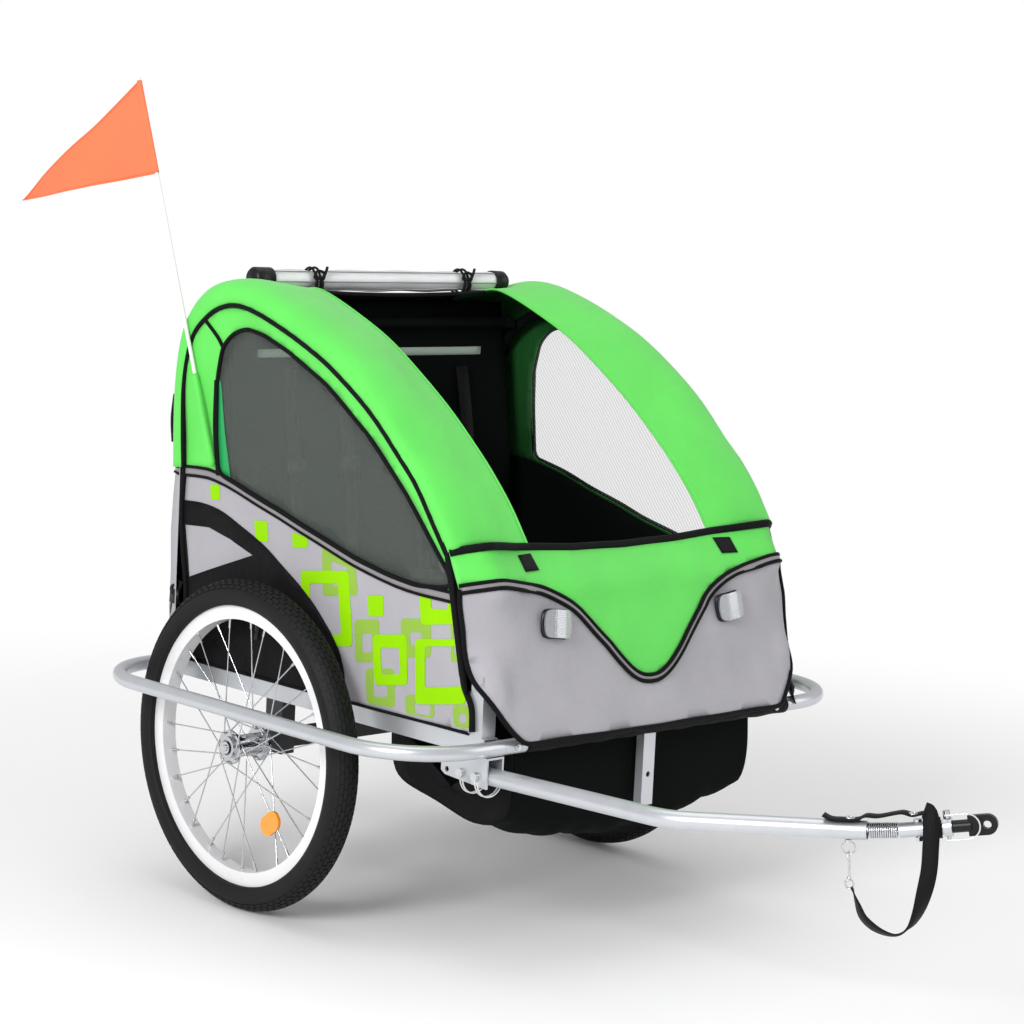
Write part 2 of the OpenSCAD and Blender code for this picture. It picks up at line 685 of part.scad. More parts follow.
module front_reflectors() {
    color(clear) place() for (s = [-1, 1]) translate([s * 183, -461.5, 240]) rotate([80, 0, 0])
        translate([-23, -24, 0]) cube([46, 48, 6]);
}
module backrest() {
    color(black) place() translate([-262, 0, 0]) side_view() linear_extrude(524)
        polygon([[132, 205], [152, 205], [203, 590], [185, 590]]);
}
module seat() {
    color(black) place() translate([-262, 0, 0]) side_view() linear_extrude(524)
        polygon([[-190, 186], [-170, 176], [128, 178], [128, 204], [-175, 212], [-190, 204]]);
}
module harness() {
    color(black) place() for (x = [-130, 130]) {
        for (k = [-1, 1]) translate([x + k * 55 - 12, 0, 0]) side_view() linear_extrude(24)
            polygon([[129, 222], [131, 222], [172, 520], [170, 520]]);
        translate([x - 12, 0, 0]) side_view() linear_extrude(24)
            polygon([[-60, 209.5], [60, 207.5], [60, 209.5], [-60, 211.5]]);
        translate([x - 20, 60, 207.5]) cube([40, 34, 11]);
    }
}
module floor_panel() {
    color(black) place() translate([-frame_w / 2 + rail + 2, seat_tube_y + guard_r + 2, rail_z + 3])
        cube([frame_w - 2 * rail - 4, rear_y - seat_tube_y - guard_r - gusset_l - 4, fabric]);
}
module footwell_bag() {
    half = 260;
    color(black) place() difference() {
        translate([-half, 0, 0]) side_view() linear_extrude(2 * half)
            polygon([[-456, 62], [-450, -44], [-330, -88], [-205, -22], [-195, 62]]);
        translate([-half + fabric, 0, 0]) side_view() linear_extrude(2 * (half - fabric))
            polygon([[-453.5, 63], [-447.5, -42.2], [-330, -85.2], [-207.5, -20.4], [-197.5, 63]]);
    }
}

// ---- flag ----
module at_pole() { place() translate(pole_foot) rotate([-pole_lean, 0, 0]) children(); }
module flag_sleeve() {
    color(green) at_pole() translate([0, 0, -3]) difference() {
        bar(pole_d / 2 + 1.3, sleeve_h);
        translate([0, 0, 2.5]) bar(pole_d / 2 + 0.08, sleeve_h);
    }
}
module flag_pole() { color(white) at_pole() bar(pole_d / 2, pole_l); }
module flag_pennant() {
    color(orange) place() difference() {
        translate([pole_x - 0.6, 0, 0]) side_view() linear_extrude(1.2)
            polygon([[hoist_top[1], hoist_top[2]], [hoist_low[1], hoist_low[2]], [fly[1], fly[2]]]);
        translate(pole_foot) rotate([-pole_lean, 0, 0]) bar(pole_d / 2 + 0.05, pole_l + 10);
    }
}

chassis_frame();
axle_beam();
drawbar_bracket();
front_wheel_bracket();
guard_left();
guard_right();
guard_bolts();
axle_pins();
axle_nuts();
drawbar_pins();
pin_wires();
tyre_left();
rim_left();
spokes_left();
hub_left();
valve_left();
wheel_reflector_left();
tyre_right();
rim_right();
spokes_right();
hub_right();
valve_right();
wheel_reflector_right();
axle_button_left();
axle_button_right();
drawbar_tube();
strap_ring();
safety_strap();
snap_hook();
snap_gate();
coupling_spring();
spring_core();
hitch_tube();
hitch_bolt();
hitch_eye();
hitch_pin();
pin_bail();
side_frame_left();
side_frame_right();
crossbar();
cover_roll();
roll_ties();
canopy_band_left();
canopy_band_right();
roof_panel();
rear_panel();
front_panel();
side_panel_left();
side_panel_right();
side_window_left();
side_window_right();
front_reflectors();
backrest();
seat();
harness();
floor_panel();
footwell_bag();
flag_sleeve();
flag_pole();
flag_pennant();
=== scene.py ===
import math
import random

import bmesh
import bpy
import numpy as np
from mathutils import Matrix, Vector
from mathutils.geometry import delaunay_2d_cdt


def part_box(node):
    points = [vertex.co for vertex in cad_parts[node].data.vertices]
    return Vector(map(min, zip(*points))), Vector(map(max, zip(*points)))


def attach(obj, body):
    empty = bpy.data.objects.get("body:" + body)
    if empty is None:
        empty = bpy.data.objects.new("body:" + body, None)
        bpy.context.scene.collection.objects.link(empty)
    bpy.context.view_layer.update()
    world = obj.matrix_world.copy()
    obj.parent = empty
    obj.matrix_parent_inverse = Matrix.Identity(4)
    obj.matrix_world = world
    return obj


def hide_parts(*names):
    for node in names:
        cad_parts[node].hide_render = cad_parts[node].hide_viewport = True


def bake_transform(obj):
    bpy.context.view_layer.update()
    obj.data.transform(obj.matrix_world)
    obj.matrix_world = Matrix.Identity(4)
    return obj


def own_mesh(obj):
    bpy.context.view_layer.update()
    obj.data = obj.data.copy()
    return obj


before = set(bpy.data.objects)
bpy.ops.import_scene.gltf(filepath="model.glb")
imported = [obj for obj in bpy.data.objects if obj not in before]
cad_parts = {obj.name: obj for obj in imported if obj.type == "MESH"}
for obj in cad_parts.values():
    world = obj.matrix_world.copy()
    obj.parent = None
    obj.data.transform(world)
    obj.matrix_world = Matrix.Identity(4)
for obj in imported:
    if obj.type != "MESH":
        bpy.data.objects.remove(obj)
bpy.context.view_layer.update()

random.seed(7)
rng = np.random.default_rng(7)

# Lengths below are millimetres from the middle of the axle; SHIFT is that point in the frame, in metres.
AXLE = (np.array(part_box("axle_beam")[0]) + np.array(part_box("axle_beam")[1])) / 2
HUB_Z = (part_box("tyre_left")[0][2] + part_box("tyre_left")[1][2]) / 2
SHIFT = np.array([0.0, AXLE[1], HUB_Z])


def P(*v):
    return np.array(v, float).reshape(-1, 3) / 1000 + SHIFT


# ---------------------------------------------------------------- materials
def material(name, color, rough=0.5, metal=0.0, **inputs):
    m = bpy.data.materials.new(name)
    m.use_nodes = True
    b = m.node_tree.nodes["Principled BSDF"]
    b.inputs["Base Color"].default_value = (*color, 1)
    b.inputs["Roughness"].default_value = rough
    b.inputs["Metallic"].default_value = metal
    for k, v in inputs.items():
        b.inputs[k.replace("_", " ")].default_value = v
    return m


def node(m, kind, **settings):
    n = m.node_tree.nodes.new(kind)
    for k, v in settings.items():
        if hasattr(n, k):
            setattr(n, k, v)
        else:
            n.inputs[k.replace("_", " ")].default_value = v
    return n


def link(m, a, b):
    m.node_tree.links.new(a, b)


def bump(m, height, strength, distance):
    """Adds a height to the material's bump chain."""
    b = m.node_tree.nodes["Principled BSDF"]
    n = node(m, "ShaderNodeBump", Strength=strength, Distance=distance)
    link(m, height, n.inputs["Height"])
    if b.inputs["Normal"].is_linked:
        link(m, b.inputs["Normal"].links[0].from_socket, n.inputs["Normal"])
    link(m, n.outputs["Normal"], b.inputs["Normal"])


def vary(m, scale, amount, detail=4.0):
    """Varies colour and roughness softly over the surface."""
    b = m.node_tree.nodes["Principled BSDF"]
    co = node(m, "ShaderNodeTexCoord")
    nz = node(m, "ShaderNodeTexNoise", Scale=scale, Detail=detail)
    link(m, co.outputs["Object"], nz.inputs["Vector"])
    mix = node(m, "ShaderNodeMix", data_type="RGBA", blend_type="MULTIPLY")
    mix.inputs[0].default_value = 1.0
    mix.inputs[6].default_value = b.inputs["Base Color"].default_value
    ramp = node(m, "ShaderNodeMapRange")
    ramp.inputs["From Min"].default_value = 0.3
    ramp.inputs["From Max"].default_value = 0.7
    ramp.inputs["To Min"].default_value = 1 - amount
    ramp.inputs["To Max"].default_value = 1.0
    link(m, nz.outputs["Fac"], ramp.inputs["Value"])
    link(m, ramp.outputs["Result"], mix.inputs[7])
    link(m, mix.outputs[2], b.inputs["Base Color"])
    r = node(m, "ShaderNodeMapRange")
    base = b.inputs["Roughness"].default_value
    r.inputs["To Min"].default_value = max(0.02, base - amount / 2)
    r.inputs["To Max"].default_value = min(1.0, base + amount / 2)
    link(m, nz.outputs["Fac"], r.inputs["Value"])
    link(m, r.outputs["Result"], b.inputs["Roughness"])
    return co, nz


def fabric(name, color, pitch=1.1, rough=0.62, sheen=0.35, wrinkle=0.5, weave=0.35, shine=0.4):
    """Plain-weave cloth: fine crossing threads, soft wrinkles and a sheen."""
    m = material(name, color, rough, Sheen_Weight=sheen, Sheen_Roughness=0.5, Specular_IOR_Level=shine)
    co, nz = vary(m, 9.0, 0.10)
    for axis in ("X", "Y", "Z"):
        w = node(m, "ShaderNodeTexWave", bands_direction=axis)
        w.inputs["Scale"].default_value = 314.0 / pitch
        link(m, co.outputs["Object"], w.inputs["Vector"])
        bump(m, w.outputs["Fac"], weave * 0.5, 0.0004)
    n2 = node(m, "ShaderNodeTexNoise", Scale=14.0, Detail=5.0)
    link(m, co.outputs["Object"], n2.inputs["Vector"])
    bump(m, n2.outputs["Fac"], wrinkle * 0.35, 0.02)
    return m


def screen(name, color, clear, pitch=1.6, rough=0.25):
    """See-through mesh with a film: partly clear, with fine slanting threads."""
    m = material(name, color, rough)
    t = m.node_tree
    b = t.nodes["Principled BSDF"]
    out = t.nodes["Material Output"]
    co = node(m, "ShaderNodeTexCoord")
    turn = node(m, "ShaderNodeMapping")
    turn.inputs["Rotation"].default_value = (math.radians(40), 0, 0)
    link(m, co.outputs["Object"], turn.inputs["Vector"])
    w = node(m, "ShaderNodeTexWave", bands_direction="Y")
    w.inputs["Scale"].default_value = 60.0
    link(m, turn.outputs["Vector"], w.inputs["Vector"])
    r = node(m, "ShaderNodeMapRange")
    r.inputs["To Min"].default_value = 1 - clear - 0.04
    r.inputs["To Max"].default_value = 1 - clear + 0.06
    link(m, w.outputs["Fac"], r.inputs["Value"])
    glass = node(m, "ShaderNodeBsdfTransparent")
    mix = node(m, "ShaderNodeMixShader")
    link(m, r.outputs["Result"], mix.inputs["Fac"])
    link(m, glass.outputs[0], mix.inputs[1])
    link(m, b.outputs[0], mix.inputs[2])
    link(m, mix.outputs[0], out.inputs["Surface"])
    return m


GREEN = fabric("green_cloth", (0.11, 0.70, 0.09), sheen=0.16, wrinkle=0.6)
# back face of the green cloth: the same green darkened about eightfold as painted shade for the shaded inside of the
# cabin
GREEN_BACK_PAINTED_SHADE = fabric("green_cloth_back_painted_shade", (0.006, 0.085, 0.012), sheen=0.0, wrinkle=0.6)
GREY = fabric("grey_cloth", (0.40, 0.39, 0.42), sheen=0.06, wrinkle=0.7)
LIME = fabric("lime_print", (0.29, 0.68, 0.0), sheen=0.0, wrinkle=0.2, shine=0.1)
OLIVE = fabric("olive_print", (0.27, 0.47, 0.05), sheen=0.0, wrinkle=0.2)
BLACK = fabric("black_cloth", (0.006, 0.006, 0.007), sheen=0.01, wrinkle=1.0, shine=0.10)
LINING = fabric("black_lining", (0.005, 0.006, 0.006), rough=0.85, sheen=0.0, shine=0.04)
WEB = fabric("black_webbing", (0.008, 0.008, 0.009), pitch=2.4, weave=1.0, sheen=0.02, shine=0.12)
PIPE = fabric("black_piping", (0.006, 0.006, 0.007), pitch=1.5, weave=0.8, sheen=0.01, shine=0.08)
REFLECT = fabric("reflective_tape", (0.24, 0.225, 0.235), rough=0.35, weave=0.2)
STRIPE = fabric("pale_stripe", (0.45, 0.56, 0.47), weave=0.6)
ORANGE = fabric("orange_cloth", (0.95, 0.19, 0.07), sheen=0.1, wrinkle=0.9)
SCREEN = screen("window_screen", (0.25, 0.29, 0.26), 0.86)
MESH = fabric("black_mesh", (0.006, 0.007, 0.007), pitch=3.0, weave=1.2, rough=0.8, sheen=0.0, shine=0.04)

SILVER = material("silver_paint", (0.62, 0.64, 0.67), 0.32, 0.7)
vary(SILVER, 30, 0.06)
ZINC = material("zinc", (0.70, 0.71, 0.73), 0.22, 1.0)
vary(ZINC, 60, 0.10)
CHROME = material("hub_chrome", (0.62, 0.63, 0.65), 0.14, 1.0)
vary(CHROME, 90, 0.12)
RUBBER = material("tyre_rubber", (0.009, 0.009, 0.010), 0.6, Specular_IOR_Level=0.2)
vary(RUBBER, 70, 0.15)
WHITE = material("white_paint", (0.78, 0.78, 0.79), 0.28, 0.0, Coat_Weight=0.3)
vary(WHITE, 25, 0.04)
PLASTIC = material("black_plastic", (0.006, 0.006, 0.007), 0.36, Specular_IOR_Level=0.3)
vary(PLASTIC, 60, 0.10)
BEAM = material("black_powder_coat", (0.02, 0.021, 0.023), 0.45)
vary(BEAM, 90, 0.10)
LENS = material("orange_lens", (1.0, 0.30, 0.0), 0.15, 0.0, Coat_Weight=0.8)
PRISM = material("clear_prism", (0.50, 0.52, 0.54), 0.10, 0.85, Coat_Weight=1.0)
FILM = material("clear_film", (0.93, 0.94, 0.95), 0.16, 0.0, Coat_Weight=0.8, Alpha=0.78)
vary(FILM, 16, 0.12)
ROD = material("white_rod", (0.80, 0.80, 0.78), 0.35)
vary(ROD, 40, 0.05)
WIRE = material("coated_wire", (0.74, 0.74, 0.74), 0.25, 0.5)
vary(WIRE, 60, 0.08)
SEAM = material("film_seam", (0.25, 0.26, 0.27), 0.4)
vary(SEAM, 40, 0.1)


def lens_pattern(m, scale):
    co = node(m, "ShaderNodeTexCoord")
    v = node(m, "ShaderNodeTexVoronoi", Scale=scale)
    link(m, co.outputs["Object"], v.inputs["Vector"])
    bump(m, v.outputs["Distance"], 0.35, 0.001)


lens_pattern(LENS, 420)
lens_pattern(PRISM, 520)

# ---------------------------------------------------------------- mesh tools


def solid(name, verts, faces, mats, index=None, smooth=True, metres=False):
    """A mesh object from vertices in millimetres, or in metres in the frame."""
    me = bpy.data.meshes.new(name)
    v = np.asarray(verts, float) if metres else P(verts)
    me.from_pydata([tuple(x) for x in v], [], [tuple(int(i) for i in f) for f in faces])
    for m in mats if isinstance(mats, (list, tuple)) else [mats]:
        me.materials.append(m)
    if index is not None:
        me.polygons.foreach_set("material_index", np.asarray(index, np.int32))
    me.polygons.foreach_set("use_smooth", [smooth] * len(me.polygons))
    bm = bmesh.new()
    bm.from_mesh(me)
    bmesh.ops.recalc_face_normals(bm, faces=bm.faces)
    bm.to_mesh(me)
    bm.free()
    o = bpy.data.objects.new(name, me)
    bpy.context.scene.collection.objects.link(o)
    return o


def curve(points, n):
    """n points at even spacing on a smooth curve through the given ones."""
    p = np.asarray(points, float)
    if len(p) > 2:
        q = np.vstack([2 * p[0] - p[1], p, 2 * p[-1] - p[-2]])
        t = np.linspace(0, 1, 13)[:-1, None]
        out = []
        for i in range(1, len(q) - 2):
            a, b, c, d = q[i - 1], q[i], q[i + 1], q[i + 2]
            out.append(0.5 * ((2 * b) + (c - a) * t + (2 * a - 5 * b + 4 * c - d) * t ** 2 + (3 * b - a - 3 * c + d) * t ** 3))
        p = np.vstack(out + [q[-2][None]])
    s = np.r_[0, np.cumsum(np.linalg.norm(np.diff(p, axis=0), axis=1))]
    u = np.linspace(0, s[-1], n)
    return np.stack([np.interp(u, s, p[:, k]) for k in range(p.shape[1])], 1)


def frames(p, closed=False):
    """Tangent, and two crossing unit vectors carried along the path without twist."""
    t = np.gradient(p, axis=0) if not closed else np.roll(p, -1, 0) - np.roll(p, 1, 0)
    t /= np.linalg.norm(t, axis=1)[:, None] + 1e-12
    n = np.zeros_like(p)
    ref = np.array([0, 0, 1.0]) if abs(t[0][2]) < 0.9 else np.array([1.0, 0, 0])
    v = ref - t[0] * (ref @ t[0])
    for i in range(len(p)):
        v = v - t[i] * (v @ t[i])
        v /= np.linalg.norm(v) + 1e-12
        n[i] = v
    return t, n, np.cross(t, n)


def rod(name, points, r, mat, n=None, sides=10, closed=False, metres=False):
    """A round cord or wire along a path; r may be a list."""
    p = np.asarray(points, float) if n is None else curve(points, n)
    t, a, b = frames(p, closed)
    rr = np.broadcast_to(np.asarray(r, float), (len(p),))
    ang = np.linspace(0, 2 * math.pi, sides, endpoint=False)
    ring = np.cos(ang)[None, :, None] * a[:, None] + np.sin(ang)[None, :, None] * b[:, None]
    v = (p[:, None] + ring * rr[:, None, None]).reshape(-1, 3)
    f = []
    m = len(p)
    for i in range(m if closed else m - 1):
        j = (i + 1) % m
        for k in range(sides):
            l = (k + 1) % sides
            f.append((i * sides + k, i * sides + l, j * sides + l, j * sides + k))
    if not closed:
        f += [tuple(range(sides)), tuple((m - 1) * sides + k for k in reversed(range(sides)))]
    return solid(name, v, f, mat, metres=metres)


def strap(name, points, across, w, t, mat, n=None):
    """A flat strip along a path; across is the width direction, one for all or one per point."""
    p = np.asarray(points, float) if n is None else curve(points, n)
    ac = np.asarray(across, float)
    ac = np.broadcast_to(ac, p.shape) if ac.ndim == 1 else (ac if n is None else curve(ac, n))
    tan, _, _ = frames(p)
    ac = ac - tan * (ac * tan).sum(1)[:, None]
    ac = ac / (np.linalg.norm(ac, axis=1)[:, None] + 1e-12)
    nor = np.cross(tan, ac)
    prof = [(-w / 2, -t / 2), (-w / 2, t / 2), (0, t * 0.62), (w / 2, t / 2), (w / 2, -t / 2), (0, -t * 0.62)]
    v = np.concatenate([(p + ac * a + nor * b)[:, None] for a, b in prof], 1).reshape(-1, 3)
    k = len(prof)
    f = []
    for i in range(len(p) - 1):
        for j in range(k):
            l = (j + 1) % k
            f.append((i * k + j, i * k + l, (i + 1) * k + l, (i + 1) * k + j))
    f += [tuple(range(k)), tuple((len(p) - 1) * k + j for j in reversed(range(k)))]
    return solid(name, v, f, mat)


def shell(name, grid, t, outer, inner=None, split=None):
    """A thin closed sheet from a grid of points; split gives each quad row and column its material."""
    g = np.asarray(grid, float)
    nu, nv, _ = g.shape
    du = np.gradient(g, axis=0)
    dv = np.gradient(g, axis=1)
    nor = np.cross(du, dv)
    nor /= np.linalg.norm(nor, axis=2)[..., None] + 1e-12
    v = np.concatenate([g.reshape(-1, 3), (g - nor * t).reshape(-1, 3)])
    off = nu * nv
    f, idx = [], []
    at = lambda i, j: i * nv + j
    mats = list(outer) if isinstance(outer, (list, tuple)) else [outer]
    back = len(mats)
    mats.append(inner or mats[0])
    for i in range(nu - 1):
        for j in range(nv - 1):
            q = (at(i, j), at(i + 1, j), at(i + 1, j + 1), at(i, j + 1))
            f.append(q)
            idx.append(split(i, j) if split else 0)
            f.append(tuple(x + off for x in reversed(q)))
            idx.append(back)
    edge = [at(i, 0) for i in range(nu)] + [at(nu - 1, j) for j in range(1, nv)]
    edge += [at(i, nv - 1) for i in range(nu - 2, -1, -1)] + [at(0, j) for j in range(nv - 2, 0, -1)]
    for a, b in zip(edge, edge[1:] + edge[:1]):
        f.append((a, b, b + off, a + off))
        idx.append(0)
    return solid(name, v, f, mats, idx)


def inside(pt, loop):
    x, y = pt
    hit = False
    for (x0, y0), (x1, y1) in zip(loop, np.roll(loop, -1, axis=0)):
        if (y0 > y) != (y1 > y) and x < (x1 - x0) * (y - y0) / (y1 - y0) + x0:
            hit = not hit
    return hit


def inside_all(pts, loop):
    p = np.asarray(pts, float)
    a = np.asarray(loop, float)
    b = np.roll(a, -1, axis=0)
    hit = np.zeros(len(p), bool)
    for (x0, y0), (x1, y1) in zip(a, b):
        if y0 == y1:
            continue
        c = ((y0 > p[:, 1]) != (y1 > p[:, 1])) & (p[:, 0] < (x1 - x0) * (p[:, 1] - y0) / (y1 - y0) + x0)
        hit ^= c
    return hit


def dense(loop, step):
    """The closed loop with points no more than step apart."""
    p = np.asarray(loop, float)
    out = []
    for a, b in zip(p, np.roll(p, -1, axis=0)):
        k = max(1, int(np.ceil(np.linalg.norm(b - a) / step)))
        out += [a + (b - a) * i / k for i in range(k)]
    return np.array(out)


def patch(name, loop, surface, t, outer, inner=None, holes=(), lift=0.0, step=14.0, smooth=True):
    """A thin closed sheet over a flat outline with holes, laid on surface(u, v) -> x, y, z and its outward normal."""
    loops = [dense(l, step) for l in [loop, *holes]]
    pts, edges = [], []
    for l in loops:
        s = len(pts)
        pts += list(l)
        edges += [(s + i, s + (i + 1) % len(l)) for i in range(len(l))]
    lo, hi = loops[0].min(0), loops[0].max(0)
    gx, gy = np.meshgrid(np.arange(lo[0] + step / 2, hi[0], step), np.arange(lo[1] + step / 2, hi[1], step))
    grid = np.stack([gx.ravel(), gy.ravel()], 1)
    ok = inside_all(grid, loops[0])
    for h in loops[1:]:
        ok &= ~inside_all(grid, h)
    rim = np.concatenate(loops)
    grid = grid[ok]
    if len(grid):
        near = np.min(np.linalg.norm(grid[:, None] - rim[None], axis=2), axis=1) > step * 0.45
        pts += list(grid[near])
    vv, _, ff, *_ = delaunay_2d_cdt([Vector(p) for p in pts], edges, [], 0, 1e-4)
    vv = np.array([tuple(v) for v in vv])
    cen = np.array([vv[list(f)].mean(0) for f in ff])
    keep = inside_all(cen, loops[0])
    for h in loops[1:]:
        keep &= ~inside_all(cen, h)
    ff = [tuple(f) for f, k in zip(ff, keep) if k]
    used = sorted({i for f in ff for i in f})
    new = {a: b for b, a in enumerate(used)}
    ff = [tuple(new[i] for i in f) for f in ff]
    pos, nor = surface(vv[used][:, 0], vv[used][:, 1])
    n = len(used)
    v = np.concatenate([pos + nor * lift, pos + nor * (lift - t)])
    count = {}
    for f in ff:
        for a, b in zip(f, f[1:] + f[:1]):
            count[(a, b)] = count.get((a, b), 0) + 1
    faces = list(ff) + [tuple(i + n for i in reversed(f)) for f in ff]
    idx = [0] * len(ff) + [1] * len(ff)
    for a, b in count:
        if (b, a) not in count:
            faces.append((b, a, a + n, b + n))
            idx.append(0)
    return solid(name, v, faces, [outer, inner or outer], idx, smooth)


def soft(obj):
    """Rides on the chassis, with a mesh of its own."""
    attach(obj, "chassis")
    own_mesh(obj)
    return obj


def join(name, objs):
    """One object from several."""
    bm = bmesh.new()
    mats = []
    for o in objs:
        local = [m for m in o.data.materials]
        start = len(bm.faces)
        bm.from_mesh(o.data)
        bm.faces.ensure_lookup_table()
        for f in bm.faces[start:]:
            m = local[f.material_index] if local else None
            if m not in mats:
                mats.append(m)
            f.material_index = mats.index(m)
    me = bpy.data.meshes.new(name)
    bm.to_mesh(me)
    bm.free()
    for m in mats:
        me.materials.append(m)
    for o in objs:
        bpy.data.objects.remove(o)
    o = bpy.data.objects.new(name, me)
    bpy.context.scene.collection.objects.link(o)
    return o


# ---------------------------------------------------------------- CAD finishes
def paint(mat, *nodes):
    for n in nodes:
        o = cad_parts[n]
        o.data.materials.clear()
        o.data.materials.append(mat)


def fillet(*nodes, w=0.0008):
    for n in nodes:
        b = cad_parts[n].modifiers.new("edge", "BEVEL")
        b.width = w
        b.segments = 2
        b.limit_method = "ANGLE"
        b.angle_limit = math.radians(40)


paint(SILVER, "chassis_frame", "drawbar_bracket", "front_wheel_bracket", "guard_left", "guard_right",
      "drawbar_tube", "hitch_tube")
paint(BEAM, "axle_beam")
paint(ZINC, "guard_bolts", "axle_pins", "axle_nuts", "drawbar_pins", "spokes_left", "spokes_right", "strap_ring",
      "snap_hook", "snap_gate", "coupling_spring", "spring_core", "hitch_bolt", "hitch_pin",
      "axle_button_left", "axle_button_right")
paint(CHROME, "hub_left", "hub_right")
paint(WIRE, "pin_wires", "pin_bail")
paint(RUBBER, "tyre_left", "tyre_right")
paint(WHITE, "rim_left", "rim_right")
paint(PLASTIC, "valve_left", "valve_right", "hitch_eye")
paint(LENS, "wheel_reflector_left", "wheel_reflector_right")
paint(PRISM, "front_reflectors")
paint(BLACK, "safety_strap", "roll_ties", "seat", "harness", "footwell_bag", "roof_panel")
paint(LINING, "backrest", "floor_panel", "crossbar", "side_frame_left", "side_frame_right")
paint(FILM, "cover_roll")
paint(SCREEN, "side_window_left", "side_window_right")
paint(GREEN, "canopy_band_left", "canopy_band_right", "front_panel", "flag_sleeve")
paint(GREY, "rear_panel", "side_panel_left", "side_panel_right")
paint(ROD, "flag_pole")
paint(ORANGE, "flag_pennant")

# ---------------------------------------------------------------- canopy
def roll_dip(y):
    """How far the rolled cover presses the cloth down."""
    return 13 * math.exp(-((y - 150) / 42) ** 2)


# matched stations along the cabin outline, front to rear: crest, side seam and inner edge, as y, z
CREST = [(-404, 351), (-372, 400), (-335, 442), (-300, 472), (-227, 541), (-141, 600), (-81, 632), (-16, 659),
         (54, 679), (110, 688), (160, 684), (205, 666), (243, 627), (262, 575), (270, 510), (270, 445), (268, 388)]
SIDE = [(-386, 338), (-357, 375), (-319, 424), (-283, 458), (-211, 519), (-127, 571), (-67, 599), (-4, 623),
        (62, 643), (110, 649), (150, 641), (182, 623), (208, 598), (223, 560), (230, 510), (228, 445), (224, 392)]
INNER = [(-396, 342), (-360, 390), (-326, 427), (-288, 463), (-215, 523), (-131, 580), (-75, 613), (-12, 641),
         (57, 667), (110, 681), (156, 679), (200, 660), (238, 621), (257, 571), (265, 508), (265, 445), (264, 388)]
STATIONS = 120
K, SM, IN = (curve(c, STATIONS) for c in (CREST, SIDE, INNER))
SEAM_X, EDGE_X = 335.0, 189.0


def band_section(k, s, i, side):
    """The band's cross-section at one station, from the side seam over the crest to the inner edge."""
    at = lambda x, a, b, f: (side * x, a[0] + (b[0] - a[0]) * f, a[1] + (b[1] - a[1]) * f)
    pts = [at(SEAM_X, s, k, 0), at(SEAM_X + 3, s, k, 0.38), at(SEAM_X - 4, s, k, 0.76), at(SEAM_X - 22, s, k, 0.97),
           at(SEAM_X - 45, s, k, 1.0), at(SEAM_X - 80, k, i, 0.22), at(EDGE_X + 30, k, i, 0.66), at(EDGE_X, i, i, 0)]
    return curve(pts, 22)


def band_grid(side):
    g = np.array([band_section(K[n], SM[n], IN[n], side) for n in range(STATIONS)])
    u = np.linspace(0, 1, STATIONS)[:, None]
    v = np.linspace(0, 1, 22)[None]
    ph = 0.7 if side < 0 else 2.1
    pucker = np.sin(u * 210 + 6 * v + ph) * np.exp(-((v - 0.02) / 0.09) ** 2) * 0.9
    slack = (np.sin(u * 17 + 5 * v + ph) + 0.6 * np.sin(u * 41 - 9 * v)) * np.sin(math.pi * v) ** 2 * 1.1
    g[..., 2] += pucker + slack
    low = np.clip((300 - np.abs(g[..., 0])) / 60, 0, 1)
    g[..., 2] -= 13 * np.exp(-((g[..., 1] - 150) / 42) ** 2) * low * low * (3 - 2 * low)
    return g


for side, nm in ((-1, "left"), (1, "right")):
    g = band_grid(side)
    # inner face: the green back, darkened as painted shade
    o = shell(f"canopy_cloth_{nm}", g if side > 0 else g[:, ::-1], 2.0, GREEN, GREEN_BACK_PAINTED_SHADE)
    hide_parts(f"canopy_band_{nm}")
    soft(o)
    cords = [rod("c1", [(side * (SEAM_X + 1.5), *p) for p in SM], 3.6, PIPE, 200),
             rod("c2", [(side * EDGE_X, p[0], p[1] - roll_dip(p[0])) for p in IN], 1.6, GREEN, 200, 8)]
    soft(join(f"canopy_piping_{nm}", cords))

# roof and upper rear: dark mesh between the bands


first = next(n for n in range(STATIONS) if IN[n][0] > 118)
rows = []
for n in range(first, STATIONS):
    xs = np.linspace(-EDGE_X - 2, EDGE_X + 2, 25)
    sag = 5.0 * (1 - (xs / EDGE_X) ** 2)
    rows.append([(x, IN[n][0] - 0.5, IN[n][1] - 2.0 - s * max(0.0, 1 - (n - first) / 30) - roll_dip(IN[n][0])) for x, s in zip(xs, sag)])
o = shell("roof_mesh", np.array(rows), 1.6, MESH, LINING)
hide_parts("roof_panel")
soft(o)
hem = [(x, IN[first][0] - 1, IN[first][1] - 3.0 - roll_dip(IN[first][0]) - 5.0 * (1 - (x / EDGE_X) ** 2)) for x in np.linspace(-EDGE_X, EDGE_X, 30)]
soft(rod("roof_hem", hem, 3.2, PIPE, None, 8))


# ---------------------------------------------------------------- rear lower panel
def rear_surface(x, z):
    y = np.interp(z, [90, 160, 220, 290, 350, 392], [266, 280, 276, 283, 278, 270])
    y = y - (y - 236) * np.clip((np.abs(x) - 292) / 43, 0, 1) ** 4 + 1.5 * np.sin(x / 37) * np.sin(z / 45)
    return np.stack([x, y, z], 1), np.tile([0, 1.0, 0], (len(x), 1))


